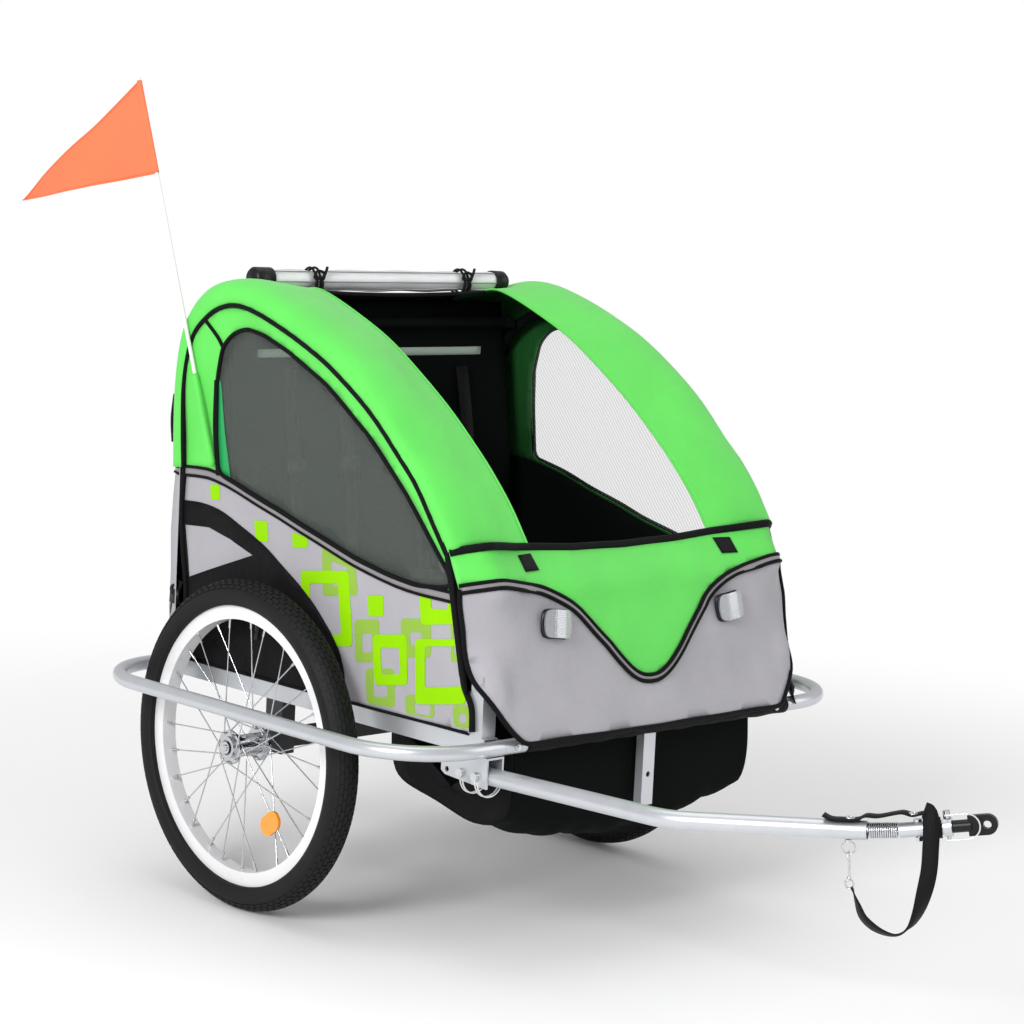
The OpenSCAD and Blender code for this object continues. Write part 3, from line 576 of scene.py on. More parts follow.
o = patch("rear_cloth", [(-335, 96), (335, 96), (335, 391), (-335, 391)], rear_surface, 2.0, GREY, LINING, step=20)
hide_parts("rear_panel")
soft(o)
for z, r in ((391, 3.0), (380, 2.4), (98, 3.0)):
    xs = np.linspace(-335, 335, 60)
    pts = rear_surface(xs, np.full(60, float(z)))[0] + [0, 1.0, 0]
    soft(rod(f"rear_piping_{z}", pts, r, PIPE, None, 8))
xs = np.linspace(-335, 335, 60)
soft(strap("rear_tape", rear_surface(xs, np.full(60, 385.5))[0] + [0, 1.2, 0], (0, 0, 1), 9, 1.2, REFLECT))


# ---------------------------------------------------------------- side panels
PLEAT_GREEN = fabric("pleat_green", (0.01, 0.33, 0.09), sheen=0.0, wrinkle=0.2)
# the pleat that shows along the window's rear edge
PLEAT = [(147, 535), (138, 395), (109, 386), (141, 530)]
def side_surface(side):
    def f(y, z):
        rise = np.clip((z - 95) / 300, 0, 1)
        x = 321.5 + 12.0 * rise ** 1.3 + 2.0 * np.sin(y / 61 + 1) * np.sin(z / 53) * rise
        x = x + 1.0 * np.sin(y / 23 + z / 31)
        return np.stack([side * x, y, z], 1), np.tile([side * 1.0, 0, 0], (len(y), 1))
    return f


BAND_TAPE = [(228, 386), (190, 388), (150, 387), (77, 372), (6, 352), (-76, 330), (-132, 314), (-199, 298), (-258, 286),
             (-321, 280), (-399, 278)]
FRONT_EDGE = [(-399, 278), (-407, 245), (-415, 195), (-420, 158), (-436, 130), (-440, 96)]
ARCH = [(230, 340), (178, 341), (123, 332), (56, 307), (-4, 278), (-58, 246), (-105, 213), (-141, 175), (-160, 135),
        (-170, 92)]
TRIANGLE = [(222, 302), (164, 305), (109, 294), (57, 276), (120, 254), (214, 221)]
WINDOW = [(84, 616), (113, 607), (137, 585), (149, 533), (145, 457), (137, 391), (77, 376), (6, 356), (-76, 334),
          (-132, 318), (-199, 302), (-258, 290), (-321, 284), (-380, 290), (-394, 300), (-360, 342), (-292, 417), (-200, 492),
          (-107, 553), (-12, 592), (40, 610)]
SOLID = [[(160, 372), (137, 375), (136, 351), (159, 348)], [(51, 330), (21, 333), (19, 302), (49, 298)],
         [(-40, 324), (-77, 321), (-78, 306), (-42, 301)], [(-212, 254), (-246, 259), (-248, 229), (-214, 224)]]
BRIGHT = [([(-59, 269), (-172, 285), (-179, 174), (-66, 156)], [(-80, 253), (-149, 263), (-154, 188), (-85, 177)]),
          ([(-226, 199), (-297, 211), (-301, 138), (-231, 126)], [(-243, 183), (-282, 189), (-285, 151), (-246, 144)]),
          ([(-324, 274), (-396, 272), (-403, 242), (-327, 229)], [(-347, 270), (-382, 270), (-383, 260), (-348, 255)]),
          ([(-315, 207), (-406, 221), (-424, 132), (-321, 114)], [(-336, 200), (-404, 211), (-414, 156), (-340, 141)])]
DULL = [([(-108, 312), (-187, 297), (-191, 251), (-112, 239)], [(-131, 294), (-169, 289), (-171, 262), (-133, 257)]),
        ([(-182, 214), (-238, 223), (-242, 161), (-186, 152)], [(-200, 197), (-223, 201), (-225, 173), (-202, 169)]),
        ([(-285, 232), (-346, 241), (-350, 186), (-288, 176)], [(-304, 215), (-327, 219), (-329, 198), (-306, 195)]),
        ([(-211, 147), (-271, 157), (-275, 100), (-214, 96)], [(-227, 143), (-256, 148), (-258, 113), (-229, 108)]),
        ([(-297, 123), (-358, 134), (-361, 100), (-299, 97)], [(-318, 117), (-352, 122), (-353, 103), (-320, 100)]),
        ([(-387, 269), (-402, 262), (-412, 192), (-393, 185)], [(-394, 258), (-400, 254), (-407, 203), (-398, 200)]),
        ([(-397, 127), (-430, 131), (-434, 99), (-399, 97)], [(-409, 115), (-424, 118), (-427, 106), (-410, 103)])]


def rounded(loop, r=6.0):
    """The closed outline with its corners rounded."""
    p = np.asarray(loop, float)
    out = []
    for a, b, c in zip(np.roll(p, 1, axis=0), p, np.roll(p, -1, axis=0)):
        u, w = a - b, c - b
        k = min(r, 0.4 * np.linalg.norm(u), 0.4 * np.linalg.norm(w))
        s, e = b + u / np.linalg.norm(u) * k, b + w / np.linalg.norm(w) * k
        for t in (0, 0.33, 0.67, 1):
            out.append((1 - t) ** 2 * s + 2 * t * (1 - t) * b + t * t * e)
    return np.array(out)


def loop_curve(points, n):
    p = np.asarray(points, float)
    q = curve(np.vstack([p[-2:], p, p[:2]]), 6 * n)
    i = np.argmin(np.linalg.norm(q[:2 * n] - p[0], axis=1))
    j = len(q) - 2 * n + np.argmin(np.linalg.norm(q[-2 * n:] - p[0], axis=1))
    return curve(q[i:j + 1], n + 1)[:-1]


seam2 = [tuple(p) for p in SM]
tape = curve(BAND_TAPE, 40)
win = rounded(WINDOW, 16)
for side, nm in ((-1, "left"), (1, "right")):
    surf = side_surface(side)
    on = lambda pts, lift=0.0: surf(np.asarray(pts)[:, 0], np.asarray(pts)[:, 1])[0] + [side * lift, 0, 0]
    # grey lower part: under the tape, down to the rail
    low = [tuple(p) for p in tape] + FRONT_EDGE[1:] + [(-430, 92), (-300, 91), (0, 91), (228, 91)]
    grey = patch(f"side_grey_{nm}", low, surf, 2.0, GREY, LINING)
    # green upper part: between the seam, the tape and the window
    up = seam2[:112][::3] + [(229, 392)] + [tuple(p) for p in tape[:-1]]
    # inner face: the green back, darkened as painted shade
    green = patch(f"side_green_{nm}", up, surf, 2.0, GREEN, GREEN_BACK_PAINTED_SHADE, holes=[win], step=12)
    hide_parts(f"side_panel_{nm}")
    for o in (grey, green):
        soft(o)
    well = [tuple(p) for p in curve(ARCH, 40)] + [(226, 92)]
    o = patch(f"wheel_well_{nm}", well, surf, 0.7, BLACK, BLACK, holes=[TRIANGLE], lift=1.2)
    soft(o)
    prints = []
    arch_loop = np.array([tuple(p) for p in curve(ARCH, 40)] + [(226, 92)])
    for q in SOLID:
        prints.append(patch("p", rounded(q, 5), surf, 0.5, LIME, step=12, lift=0.7, smooth=False))
    for out, hole in DULL:
        prints.append(patch("p", rounded(out, 8), surf, 0.5, OLIVE, holes=[rounded(hole, 5)], step=12, lift=0.5, smooth=False))
    for out, hole in BRIGHT:
        prints.append(patch("p", rounded(out, 8), surf, 0.5, LIME, holes=[rounded(hole, 5)], step=12, lift=0.9, smooth=False))
    soft(join(f"side_print_{nm}", prints))
    glass = patch(f"window_cloth_{nm}", dense(win, 20), surf, 0.8, SCREEN, step=30, lift=-0.6)
    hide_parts(f"side_window_{nm}")
    soft(glass)
    if side < 0:
        soft(patch("window_pleat_left", PLEAT, surf, 0.4, PLEAT_GREEN, step=20, lift=0.4))
    trim = [rod("a", np.vstack([on(win, 1.5), on(win[:1], 1.5)]), 3.2, PIPE, 220, 8),
            rod("b", on(tape, 2.0) + [0, 0, 6.5], 2.6, PIPE, 90, 8),
            rod("c", on(tape, 2.0) - [0, 0, 6.5], 2.6, PIPE, 90, 8),
            strap("d", on(tape, 2.2), (0, 0, 1), 11, 1.4, REFLECT),
            rod("e", on(FRONT_EDGE, 1.0), 4.5, PIPE, 50, 8),
            rod("f", on([(224, 392), (228, 330), (226, 262), (219, 200), (222, 120), (224, 92)], 2.5), 4.2, PIPE, 60, 8),
            rod("g", on([(137, 585), (150, 600), (182, 623)], 1.5), 3.0, PIPE, 12, 8),
            rod("h", on([(149, 533), (147, 460), (137, 389)], 2.0), 4.0, PIPE, 24, 8),
            rod("i", on([(-430, 92), (-200, 91), (0, 91), (226, 91)], 0.5), 2.4, PIPE, 60, 8)]
    soft(join(f"side_trim_{nm}", trim))

# ---------------------------------------------------------------- front panel
FX = [0, 100, 180, 217, 260, 290, 306, 320, 335]
TOP_Y = [-383, -385, -392, -399, -416, -425, -417, -403, -389]
MID_Y = [-446, -444, -441, -443, -452, -459, -446, -430, -415]
TOP_Z = [333, 335, 340, 343, 349, 352, 350, 346, 341]


def front_surface(x, z):
    a = np.abs(x)
    top = np.interp(a, FX, TOP_Y)
    mid = np.interp(a, FX, MID_Y)
    low = np.interp(z, [60, 84, 110, 147, 200, 239, 295], [-500, -494, -486, -470, -462, -453, -440])
    edge = np.interp(z, [60, 84, 104, 122, 142, 163, 210, 259, 295], [-490, -484, -471, -459, -449, -438, -430, -424, -415])
    f = np.clip((a - 250) / 85, 0, 1) ** 1.6
    body = low * (1 - f) + edge * f
    t = np.clip((z - 292) / 50, 0, 1)
    y = np.where(z > 292, mid * (1 - t) + top * t, body * 1.0)
    blend = np.clip((z - 240) / 52, 0, 1)
    y = np.where(z <= 292, body * (1 - blend) + mid * blend, y)
    y = y - 18 * np.exp(-((a - 303) / 20) ** 2 - ((z - 160) / 40) ** 2)
    y = y + 1.6 * np.sin(x / 47 + 0.8) * np.sin(z / 37) + 0.9 * np.sin(x / 19 - z / 41)
    h = 1.0
    return np.stack([x, y, z], 1), np.tile([0, -1.0, 0], (len(x), 1))


VEE = [(0, 147), (20, 150), (41, 162), (64, 182), (84, 203), (103, 221), (123, 240), (142, 257), (168, 272), (202, 286),
       (239, 294), (283, 302), (301, 301), (318, 297), (335, 293)]
vee = np.array([(-x, z) for x, z in VEE[::-1]] + VEE[1:], float)
vee = curve(vee, 110)
top = np.array([(x, np.interp(abs(x), FX, TOP_Z)) for x in np.linspace(335, -335, 60)])
bib = patch("front_green", [tuple(p) for p in top] + [tuple(p) for p in vee], front_surface, 2.0, GREEN, LINING, step=12)
EDGE = [(335, 293), (336, 250), (335, 205), (331, 175), (322, 152), (308, 126), (292, 104), (276, 88), (262, 82)]
bottom = [(200, 82), (100, 81), (0, 80), (-100, 81), (-200, 82)]
hull = [tuple(p) for p in vee] + EDGE[1:] + bottom + [(-x, z) for x, z in EDGE[::-1]][:-1]
grey = patch("front_grey", hull, front_surface, 2.0, GREY, LINING, step=12)
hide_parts("front_panel")
soft(bib)
soft(grey)
fs = lambda pts, lift: front_surface(np.asarray(pts, float)[:, 0], np.asarray(pts, float)[:, 1])[0] + [0, -lift, 0]
vn = np.gradient(vee, axis=0)
vn = np.stack([-vn[:, 1], vn[:, 0]], 1)
vn /= np.linalg.norm(vn, axis=1)[:, None]
rim = EDGE + bottom + [(-x, z) for x, z in EDGE[::-1]]
trim = [rod("a", fs(vee + vn * 4.6, 2.0), 3.0, PIPE, 240, 8), rod("b", fs(vee - vn * 4.6, 2.0), 3.0, PIPE, 240, 8),
        strap("c", fs(vee, 2.2), fs(vee + vn * 5, 2.2) - fs(vee, 2.2), 8, 1.4, REFLECT),
        rod("d", fs(top, 0.5), 6.0, PIPE, 120, 8), rod("e", fs(curve(rim, 120), 0.5), 3.6, PIPE, None, 8)]
for sx in (-1, 1):
    trim.append(patch("v", [(sx * 207 - 15, 333), (sx * 207 + 15, 333), (sx * 207 + 15, 312), (sx * 207 - 15, 312)],
                      front_surface, 1.6, WEB, lift=2.4))
soft(join("front_trim", trim))


# ---------------------------------------------------------------- inside of the cabin
def rear_wall(x, s):
    """Inner rear wall: s runs from the seat up to the roof."""
    y = 131 + 62 * s - 9 * np.sin(math.pi * s) * (1 - (x / 300) ** 2) + 2.0 * np.sin(x / 41) * np.sin(s * 9)
    return np.stack([x, y, 205 + 445 * s], -1)


xs, ss = np.meshgrid(np.linspace(-292, 292, 41), np.linspace(0, 1, 31), indexing="ij")
o = shell("rear_wall", rear_wall(xs, ss), -1.6, LINING, LINING)
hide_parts("backrest")
soft(o)
bar_x = np.linspace(-235, 235, 40)
soft(strap("headroom_stripe", rear_wall(bar_x, np.full(40, 0.82)) - [0, 2.5, 0], (0, 0, 1), 13, 1.0, STRIPE))

# seat: a padded cushion blown up by cloth pressure and quilted across
def cushion(name, lo, hi, mat, seams, seed):
    """A box remeshed and inflated as cloth, kept within a few millimetres of its outline."""
    lo, hi = P(*lo)[0], P(*hi)[0]
    bpy.ops.mesh.primitive_cube_add(size=1, location=(lo + hi) / 2)
    o = bpy.context.object
    o.name = name
    o.scale = hi - lo
    bpy.ops.object.transform_apply(location=True, scale=True)
    m = o.modifiers.new("grain", "REMESH")
    m.mode = "VOXEL"
    m.voxel_size = 0.006
    bpy.ops.object.modifier_apply(modifier="grain")
    rest = np.empty(len(o.data.vertices) * 3)
    o.data.vertices.foreach_get("co", rest)
    c = o.modifiers.new("cloth", "CLOTH")
    c.settings.use_pressure = True
    c.settings.uniform_pressure_force = 4
    c.settings.effector_weights.gravity = 0
    c.settings.quality = 5
    for f in range(1, 21):
        bpy.context.scene.frame_set(f)
    bpy.ops.object.modifier_apply(modifier="cloth")
    bpy.context.scene.frame_set(1)
    v = np.empty_like(rest)
    o.data.vertices.foreach_get("co", v)
    d = (v - rest).reshape(-1, 3)
    size = np.linalg.norm(d, axis=1)
    d *= np.minimum(1, 0.007 / (size + 1e-9))[:, None]
    v = rest.reshape(-1, 3) + d
    top = v[:, 2] > (lo[2] + hi[2]) / 2
    for x in seams:
        v[:, 2] -= np.where(top, 0.005 * np.exp(-((v[:, 0] - x / 1000) / 0.008) ** 2), 0)
    v[:, 2] += np.where(top, 0.0015 * np.sin(v[:, 0] * 90 + seed) * np.sin(v[:, 1] * 70), 0)
    o.data.vertices.foreach_set("co", v.ravel())
    o.data.materials.append(mat)
    m = o.modifiers.new("smooth", "SUBSURF")
    m.levels = m.render_levels = 1
    bpy.ops.object.modifier_apply(modifier="smooth")
    o.data.polygons.foreach_set("use_smooth", [True] * len(o.data.polygons))
    return o


o = cushion("seat_cushion", (-262, -188, 182), (262, 122, 205), BLACK, (-175, -87, 0, 87, 175), 1)
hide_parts("seat")
soft(o)
belts = []
for x in (-130, 130):
    for k in (-1, 1):
        up = [(x + k * 55, 119 + 47 * f - 7 * math.sin(math.pi * f), 215 + 330 * f) for f in np.linspace(0, 1, 16)]
        belts.append(strap("w", up, (1, 0, 0), 25, 1.6, WEB))
        buckle = [(x + k * 55, 133, 372), (x + k * 55, 138, 408)]
        belts.append(strap("b", buckle, (1, 0, 0), 34, 7, PLASTIC))
    lap = [(x - 110, 96, 214), (x - 60, 30, 218), (x, -6, 217), (x + 60, 30, 218), (x + 110, 96, 214)]
    belts.append(strap("w", lap, (0, 0.3, 1), 25, 1.6, WEB, 30))
    belts.append(strap("b", [(x, -22, 220), (x, 26, 220)], (1, 0, 0), 40, 10, PLASTIC))
o = join("harness_straps", belts)
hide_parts("harness")
soft(o)
# binding down the two front corners
for side, nm in ((-1, "left"), (1, "right")):
    edge = [(side * 335, -376, 366), (side * 336, -388, 335), (side * 335, -398, 300), (side * 334, -411, 243),
            (side * 333, -423, 190), (side * 331, -431, 150)]
    soft(rod(f"corner_binding_{nm}", edge, np.interp(range(60), [0, 14, 52, 59], [1.5, 5.5, 5.5, 2.0]), PIPE, 60, 10))

# ---------------------------------------------------------------- footwell bag, a sagging shell
def bag_ring(x):
    """Its outline in y, z at one place across, from the front top under the cabin round to the rear top."""
    a = min(1.0, abs(x) / 258)
    sag = (1 - a ** 2.2) * 42
    pts = [(-452, 70), (-455, 15), (-449, -22 - sag * 0.35), (-432, -40 - sag * 0.9), (-380, -52 - sag),
           (-300, -36 - sag * 0.9), (-225, -20 - sag * 0.5), (-202, 10), (-197, 68)]
    r = curve(pts, 44)
    w = np.sin(np.linspace(0, math.pi, 44))
    r[:, 1] += w * (2.5 * np.sin(x / 21) + 1.6 * np.sin(x / 9 + 1))
    r[:, 0] += w * (2.0 * np.sin(x / 33 + 2))
    return np.column_stack([np.full(44, x), r])


g = np.array([bag_ring(x) for x in np.linspace(-256, 240, 70)])
ends = []
for side in (-1, 1):
    ring = bag_ring(-256 if side < 0 else 240)
    mid = ring.mean(0)
    rows = [mid + (ring - mid) * f + [side * 3.0 * (1 - f), 0, 0] for f in (0.02, 0.4, 0.75, 1.0)]
    ends.append(shell("e", np.array(rows), 1.5 * side, BLACK, LINING))
o = join("footwell_cloth", [shell("m", g, 1.6, BLACK, LINING)] + ends)
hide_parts("footwell_bag")
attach(o, "chassis")
# the bag's top edge is wrapped round the front cross tube
wrapped = [(x, -470, 76 + 0.3 * math.sin(x / 14)) for x in np.linspace(-252, 300, 60)]
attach(rod("bag_edge_sleeve", wrapped, [12.6 + 0.5 * math.sin(x[0] / 9) for x in wrapped], BLACK, None, 20), "chassis")
o = patch("floor_cloth", [(-290, -175), (290, -175), (290, 248), (-290, 248)],
          lambda x, y: (np.stack([x, y, 84 + 1.2 * np.sin(x / 60) * np.sin(y / 50)], 1), np.tile([0, 0, 1.0], (len(x), 1))),
          2.4, BLACK, LINING, step=24)
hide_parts("floor_panel")
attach(o, "chassis")

# ---------------------------------------------------------------- rolled rain cover and its ties
def roll_point(x, a, r):
    return [x, 150 + r * math.sin(a), 686 + r * math.cos(a)]


n_a, n_x = 150, 60
rows = []
for a in np.linspace(0, 5.2 * math.pi, n_a):
    r = 9.5 + 0.46 * a
    rows.append([roll_point(x, a + 0.25 * math.sin(x / 90), r + 0.9 * math.sin(x / 17 + a) * (a / 16)
                            - 2.6 * (math.exp(-((x + 156) / 12) ** 2) + math.exp(-((x - 156) / 12) ** 2)))
                 for x in np.linspace(-262, 244, n_x)])
roll = shell("cover_film", np.array(rows), 0.5, FILM, FILM)
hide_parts("cover_roll")
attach(roll, "top_bar")
caps = [rod("a", [(-274, 150, 688), (-270, 150, 688), (-240, 150, 687)], [14, 17.5, 18.2], PLASTIC, None, 24),
        rod("b", [(226, 150, 686), (250, 150, 686), (255, 150, 686)], [18.2, 17.5, 14], PLASTIC, None, 24)]
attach(join("roll_caps", caps), "top_bar")
seams = [rod("s", [roll_point(x, a, 17.6) for x in np.linspace(-238, 224, 40)], 0.9, SEAM, None, 6) for a in (2.2, 4.6, 5.6)]
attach(join("roll_seams", seams), "top_bar")
ties = []
for x in (-156, 156):
    for k, dx in enumerate((-4, 4)):
        loop = [roll_point(x + dx + 2 * math.sin(a * 2 + k), a, 19.4) for a in np.linspace(0, 2 * math.pi, 33)[:-1]]
        ties.append(rod("t", loop, 2.0, WEB, None, 8, closed=True))
    knot = [(x - 8, 133, 693), (x + 6, 130, 688), (x + 9, 131, 698), (x - 6, 129, 701), (x - 9, 131, 690), (x + 5, 128, 692),
            (x + 12, 130, 700), (x + 17, 133, 707)]
    ties.append(rod("k", knot, 2.3, WEB, 40, 8))
    for dx, dz in ((-7, -20), (6, -18)):
        ties.append(rod("e", [(x + dx / 2, 131, 692), (x + dx, 129, 682), (x + dx * 1.1, 131, 692 + dz)], 2.0, WEB, 14, 8))
o = join("roll_cords", ties)
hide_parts("roll_ties")
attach(o, "top_bar")

# ---------------------------------------------------------------- front reflectors
lamps = []
for side in (-1, 1):
    c = np.array([side * 182.0 - 6.0, -462.0, 239.0 - side * 1.0])
    tilt = math.radians(10)
    up3 = np.array([side * -0.12, math.sin(tilt), math.cos(tilt)])
    up3 /= np.linalg.norm(up3)
    out3 = np.array([0, -math.cos(tilt), math.sin(tilt)])
    out3 -= up3 * (out3 @ up3)
    out3 /= np.linalg.norm(out3)
    rt3 = np.cross(out3, up3)
    outline = rounded([(-23, -20), (23, -20), (26, 0), (23, 20), (-23, 20), (-26, 0)], 9)

    def lens(u, v, c=c, up3=up3, out3=out3, rt3=rt3):
        h = 6.0 * np.clip((26 - np.abs(u)) / 17, 0, 1)
        return c + u[:, None] * rt3 + v[:, None] * up3 + h[:, None] * out3, np.tile(out3, (len(u), 1))

    lamps.append(patch("l", outline, lens, 3.0, PRISM, PLASTIC, step=3.5, lift=2.0, smooth=False))
    lamps.append(patch("b", outline * 1.06, lambda u, v, f=lens: (f(u * 0, v * 0)[0] + (f(u, v)[0] - f(u * 0, v * 0)[0]) * 1.0
                 - 4.0 * f(u, v)[1], f(u, v)[1]), 3.0, PLASTIC, PLASTIC, step=9))
o = join("front_lenses", lamps)
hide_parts("front_reflectors")
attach(o, "front_lamps")

# ---------------------------------------------------------------- tyres with block tread
def tread(side):
    r0, r1 = 249.0, 23.5
    mid = r0 - r1
    bm = []
    a_n = 96
    prof = np.radians(np.linspace(-62, 62, 9))
    verts, faces = [], []
    for row, (p0, p1) in enumerate(zip(prof[:-1], prof[1:])):
        edge = row in (0, 7)
        shift = 0.5 * (row % 2)
        for k in range(a_n):
            t0 = (k + shift + 0.10) * 2 * math.pi / a_n
            t1 = (k + shift + 0.86) * 2 * math.pi / a_n
            q0, q1 = p0 + 0.022, p1 - 0.022
            base = len(verts)
            for lift in (-1.6, 0.25 if not edge else 0.0):
                for t, q in ((t0, q0), (t1, q0), (t1, q1), (t0, q1)):
                    rad = mid + (r1 + lift) * math.cos(q)
                    verts.append((side * 373 + (r1 + lift) * math.sin(q), rad * math.sin(t), rad * math.cos(t)))
            f = [(4, 5, 6, 7), (0, 1, 5, 4), (1, 2, 6, 5), (2, 3, 7, 6), (3, 0, 4, 7), (3, 2, 1, 0)]
            faces += [tuple(i + base for i in q) for q in f]
    return solid("tread", verts, faces, RUBBER, smooth=False)


def carcass(side):
    """The tyre's body: a tube whose outer face lies just under the tread blocks, with two beads."""
    r1 = 23.5
    prof = []
    for a in np.linspace(-128, 128, 41):
        t = math.radians(a)
        under = 1.1 if abs(a) < 66 else 0.0
        rib = 0.5 * (1 if 76 < abs(a) < 80 else 0)
        prof.append(((r1 - under + rib) * math.sin(t), 225.5 + (r1 - under + rib) * math.cos(t)))
    prof += [(-17, 212), (-9.0, 210.5), (-9.0, 205), (-6, 205), (-6, 213), (-14, 221), (0, 244), (14, 221), (6, 213), (6, 205),
             (9.0, 205), (9.0, 210.5), (17, 212)][::-1]
    prof = [q for i, q in enumerate(prof) if i < 41] + [(17, 212), (9.0, 210.8), (9.0, 205), (6, 205), (6, 212), (18, 225),
            (12, 240), (0, 244), (-12, 240), (-18, 225), (-6, 212), (-6, 205), (-9.0, 205), (-9.0, 210.8), (-17, 212)]
    prof = np.array(prof)
    m = len(prof)
    n = 144
    ang = np.linspace(0, 2 * math.pi, n, endpoint=False)
    v = [(side * 373 + x, r * math.sin(a), r * math.cos(a)) for a in ang for x, r in prof]
    f = [(i * m + j, i * m + (j + 1) % m, ((i + 1) % n) * m + (j + 1) % m, ((i + 1) % n) * m + j) for i in range(n) for j in range(m)]
    return solid("carcass", v, f, RUBBER)


for side, nm in ((-1, "left"), (1, "right")):
    o = join(f"tyre_rubber_{nm}", [carcass(side), tread(side)])
    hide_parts(f"tyre_{nm}")
    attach(o, f"wheel_{nm}")

# ---------------------------------------------------------------- hitch: strap, spring, flag
S_B = np.array([-155.65, -1059.94, 65.47])
R3 = np.array([[0.866025, 0.5, 0], [-0.09369, 0.16228, 0.98229], [0.49114, -0.85069, 0.18738]]).T
ALONG = np.array([0.5, -0.866025, 0])
OUT = np.array([-0.866025, -0.5, 0])


def bar_point(s, z, out=0.0):
    """A point given by its run along the drawbar's outer part, its height and its distance to the near side."""
    p = S_B + ALONG * s + OUT * out
    return [p[0], p[1], z]


top_run = [bar_point(*q) for q in [(-98, 76, 3), (-88, 72, 3), (-75, 72.4, 3), (-62, 73.2, 2), (-52, 75, 0), (-44, 80, 0),
                                   (-28, 81, 0), (-8, 87, 0), (3, 89.5, 0), (15, 87.5, 0), (25, 90.5, 0), (34, 93, 0)]]
MID = -20.5


def split_strap(name, points, across, at, near, far):
    """One strap in two lengths, a drawbar side and a hitch side, meeting at the index at."""
    for part, a, b, ends, run in (("drawbar_side", "drawbar", "coupling", near, slice(None, at + 1)),
                                  ("hitch_side", "coupling", "hitch", far, slice(at, None))):
        ac = across if np.ndim(across) == 1 else across[run]
        o = strap(f"{name}_{part}", points[run], ac, 21, 1.8, WEB)
        if part == "drawbar_side" and name == "strap_top":
            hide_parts("safety_strap")
        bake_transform(o)


run = curve(top_run, 60)
split_strap("strap_top", run, OUT, int(np.argmin(np.abs((run - S_B) @ ALONG - MID))), (-41, MID), (MID, 0))
ring3 = lambda a, s, r=12.6: list(S_B + R3 @ np.array([-r * math.sin(a), r * math.cos(a), s]))
wrap = [ring3(a, 42 + 2 * math.sin(a)) for a in np.linspace(-0.4, 2 * math.pi - 0.2, 36)]
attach(strap("strap_wrap", wrap, R3[:, 2], 22, 1.8, WEB), "hitch")
down = [(30, 96, 4), (38, 94, 13), (41.5, 74, 17), (42, 52, 15), (41, 17, 10), (34, -23, 5), (27, -46, 3), (19, -59.5, 2),
        (4, -70, 2), (-18, -66.5, 2), (-38, -54, 0), (-48, -36, -2), (-57, -16.5, -6)]
turn = [10, 0, 0, 0, 0, 15, 50, 82, 62, 50, 52, 60, 85]
path = np.array([bar_point(*q) for q in down])
tan = np.gradient(path, axis=0)
tan /= np.linalg.norm(tan, axis=1)[:, None]
flat = np.cross(tan, OUT)
flat /= np.linalg.norm(flat, axis=1)[:, None]
ac = [f * math.cos(math.radians(t)) + OUT * math.sin(math.radians(t)) for f, t in zip(flat, turn)]
run, ac = curve(path, 90)[::-1], curve(ac, 90)[::-1]
split_strap("strap_loop", run, ac, int(np.argmin(run[:, 2])), (-50, 4), (4, 27))
for nm, s, z, body in (("rear", -64, 74.6, "drawbar"), ("front", 16, 88.8, "hitch")):
    c = np.array(bar_point(s, z, 0))
    ring = [c + ALONG * 5.2 * math.cos(a) + OUT * 5.2 * math.sin(a) for a in np.linspace(0, 2 * math.pi, 24, endpoint=False)]
    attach(rod(f"strap_eyelet_{nm}", ring, 1.5, ZINC, None, 8, closed=True), body)

# the coupling spring as one wound wire in two halves, the first toward the drawbar and the rest toward the hitch
axis_a = S_B - 41 * (math.cos(math.radians(7)) * ALONG + np.array([0, 0, math.sin(math.radians(7))]))
ax = (S_B - axis_a) / 41
sx = np.cross(ax, [0, 0, 1])
sx /= np.linalg.norm(sx)
sy = np.cross(sx, ax)
coil = []
for a in np.linspace(0, 13.6 * 2 * math.pi, 13 * 28):
    f = a / (13.6 * 2 * math.pi)
    coil.append(axis_a + ax * (1.6 + 37.8 * f) + 9.6 * (sx * math.cos(a) + sy * math.sin(a)))
coil = np.array(coil)
half = len(coil) // 2
one = rod("spring_coil", coil[:half + 1], 1.15, ZINC, None, 8)
two = rod("spring_coil_far", coil[half:], 1.15, ZINC, None, 8)
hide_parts("coupling_spring")
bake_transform(one)
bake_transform(two)

# flag: a thin cloth with a hem round the pole and soft waves
T0 = np.array([-343.0, 144, 408])
PD = np.array([0, math.sin(math.radians(20.7)), math.cos(math.radians(20.7))])
tip, low = T0 + PD * 612, T0 + PD * 462
fly = (tip + low) / 2 + 371 * np.array([0, math.cos(math.radians(20)), -math.sin(math.radians(20))])
rows = []
for i, u in enumerate(np.linspace(0, 1, 44)):
    a, b = tip + (fly - tip) * u, low + (fly - low) * u
    row = []
    for v in np.linspace(0, 1, 18):
        q = a + (b - a) * v
        q = q + [math.sin(u * 7.5 + v * 1.2) * 9 * u * (1 - 0.3 * u) + 2.0 * math.sin(v * 9 + u * 21) * u * (1 - u), 0, 0]
        row.append(q)
    rows.append(row)
cloth = shell("flag_cloth", np.array(rows), 0.8, ORANGE, ORANGE)
hem = rod("h", [tip, (tip + low) / 2, low], 4.0, ORANGE, 20, 12)
grid = np.array(rows)
edge = [rod("e1", grid[:, 0] + [0, 0, 0], 1.1, ORANGE, None, 6), rod("e2", grid[:, -1], 1.1, ORANGE, None, 6)]
o = join("flag_cloth_hemmed", [cloth, hem] + edge)
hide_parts("flag_pennant")
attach(o, "flag")
o = rod("flag_pocket_cloth", [T0 + PD * k for k in (-6, 0, 20, 60, 110, 134, 140)], [2, 5.5, 6.0, 5.8, 5.2, 4.6, 4.2], GREEN,
        None, 16)
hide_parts("flag_sleeve")
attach(o, "flag_pocket")

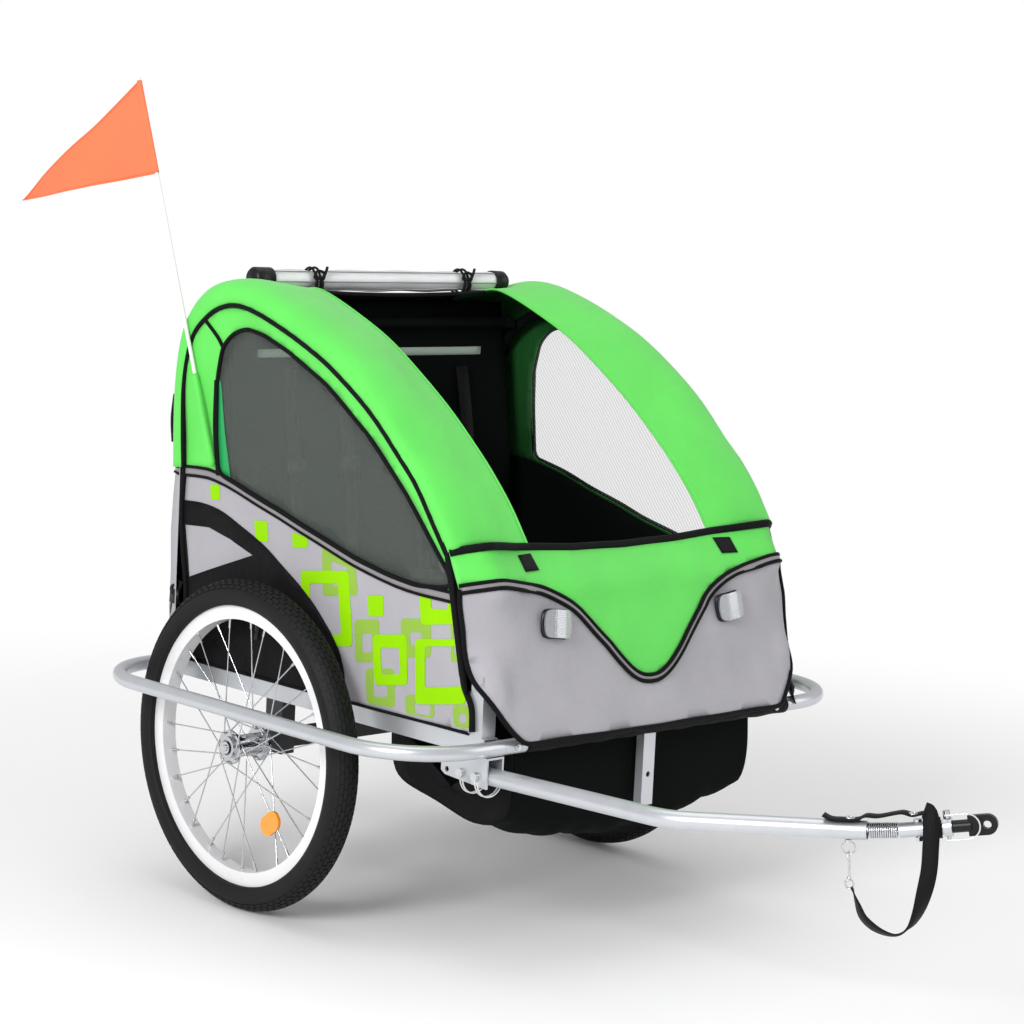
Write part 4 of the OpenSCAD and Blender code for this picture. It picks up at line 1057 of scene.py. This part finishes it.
# rear corner: cord, clip and strap down to the rail, and the tab on the canopy's rear edge
bits = []
for side in (-1, 1):
    bits += [strap("s", [(side * 326, 236, 212), (side * 330, 242, 190), (side * 328, 250, 160), (side * 322, 246, 126), (side * 316, 236, 96)],
                   (0, 1, 0.3), 14, 1.6, WEB, 30),
             rod("k", [(side * 330, 232, 196), (side * 333, 244, 190), (side * 332, 250, 200), (side * 330, 238, 206)], 3.0, PLASTIC, 20, 8),
             strap("b", [(side * 331, 241, 198), (side * 331, 243, 176)], (0, 1, 0.2), 20, 6, PLASTIC)]
bits += [strap("f", [(331, -432, 150), (333, -441, 120), (322, -470, 92), (312, -484, 84)], (0, 0.5, 1), 16, 1.6, WEB, 20),
         strap("c", [(329, -452, 108), (323, -470, 94)], (0, 0.5, 1), 20, 5, PLASTIC)]
soft(join("corner_straps", bits))
tabs = [strap("t", [(side * 312, 274, 500), (side * 312, 279, 462), (side * 312, 275, 425)], (1, 0, 0), 20, 3, WEB, 12) for side in (-1, 1)]
soft(join("rear_tabs", tabs))

# ---------------------------------------------------------------- camera, light, floor
cam = bpy.data.cameras.new("camera")
cam.sensor_width = 36
cam.lens = 36 * 2689.3 / 1024
cam.clip_end = 100
co = bpy.data.objects.new("camera", cam)
bpy.context.scene.collection.objects.link(co)
az, el, roll = (math.radians(v) for v in (-43.860, 7.2175, 2.7355))
back = Vector((math.sin(az) * math.cos(el), -math.cos(az) * math.cos(el), math.sin(el)))
right = (-back).cross(Vector((0, 0, 1))).normalized()
up = right.cross(-back)
r2 = right * math.cos(roll) + up * math.sin(roll)
u2 = up * math.cos(roll) - right * math.sin(roll)
co.matrix_world = Matrix((r2, u2, back)).transposed().to_4x4()
co.location = P(-2829.0, -3106.7, 869.0)[0]
bpy.context.scene.camera = co

bpy.ops.mesh.primitive_plane_add(size=60, location=(0, 0, -0.001))
floor = bpy.context.object
floor.name = "floor"
FLOOR = material("floor", (0.95, 0.95, 0.95), 0.9)
far = node(FLOOR, "ShaderNodeEmission", Strength=1.0)
near = node(FLOOR, "ShaderNodeVectorMath", operation="LENGTH")
link(FLOOR, node(FLOOR, "ShaderNodeNewGeometry").outputs["Position"], near.inputs[0])
fade = node(FLOOR, "ShaderNodeMapRange", interpolation_type="SMOOTHSTEP")
fade.inputs["From Min"].default_value = 0.9
fade.inputs["From Max"].default_value = 2.6
link(FLOOR, near.outputs["Value"], fade.inputs["Value"])
both = node(FLOOR, "ShaderNodeMixShader")
link(FLOOR, fade.outputs["Result"], both.inputs["Fac"])
link(FLOOR, FLOOR.node_tree.nodes["Principled BSDF"].outputs[0], both.inputs[1])
link(FLOOR, far.outputs[0], both.inputs[2])
link(FLOOR, both.outputs[0], FLOOR.node_tree.nodes["Material Output"].inputs["Surface"])
floor.data.materials.append(FLOOR)


def area(name, loc, target, size, watts, color=(1, 1, 1)):
    d = bpy.data.lights.new(name, "AREA")
    d.shape = "RECTANGLE"
    d.size, d.size_y = size
    d.energy = watts
    d.color = color
    o = bpy.data.objects.new(name, d)
    bpy.context.scene.collection.objects.link(o)
    o.location = loc
    o.rotation_euler = (Vector(target) - Vector(loc)).to_track_quat("-Z", "Y").to_euler()


area("key", (-4.2, -1.3, 2.3), (0, 0, 0.5), (1.6, 1.6), 150)
area("fill", (2.8, -3.0, 2.2), (0, 0, 0.5), (3.0, 3.0), 34)
area("top", (0, 0.6, 4.2), (0, 0, 0.4), (3.0, 3.0), 30)
w = bpy.data.worlds.new("studio")
bpy.context.scene.world = w
w.use_nodes = True
w.node_tree.nodes["Background"].inputs["Color"].default_value = (1, 1, 1, 1)
sky = w.node_tree.nodes["Background"]
seen = w.node_tree.nodes.new("ShaderNodeLightPath")
level = w.node_tree.nodes.new("ShaderNodeMapRange")
level.inputs["To Min"].default_value = 0.58
level.inputs["To Max"].default_value = 1.0
w.node_tree.links.new(seen.outputs["Is Camera Ray"], level.inputs["Value"])
w.node_tree.links.new(level.outputs["Result"], sky.inputs["Strength"])
bpy.context.scene.view_settings.view_transform = "Standard"
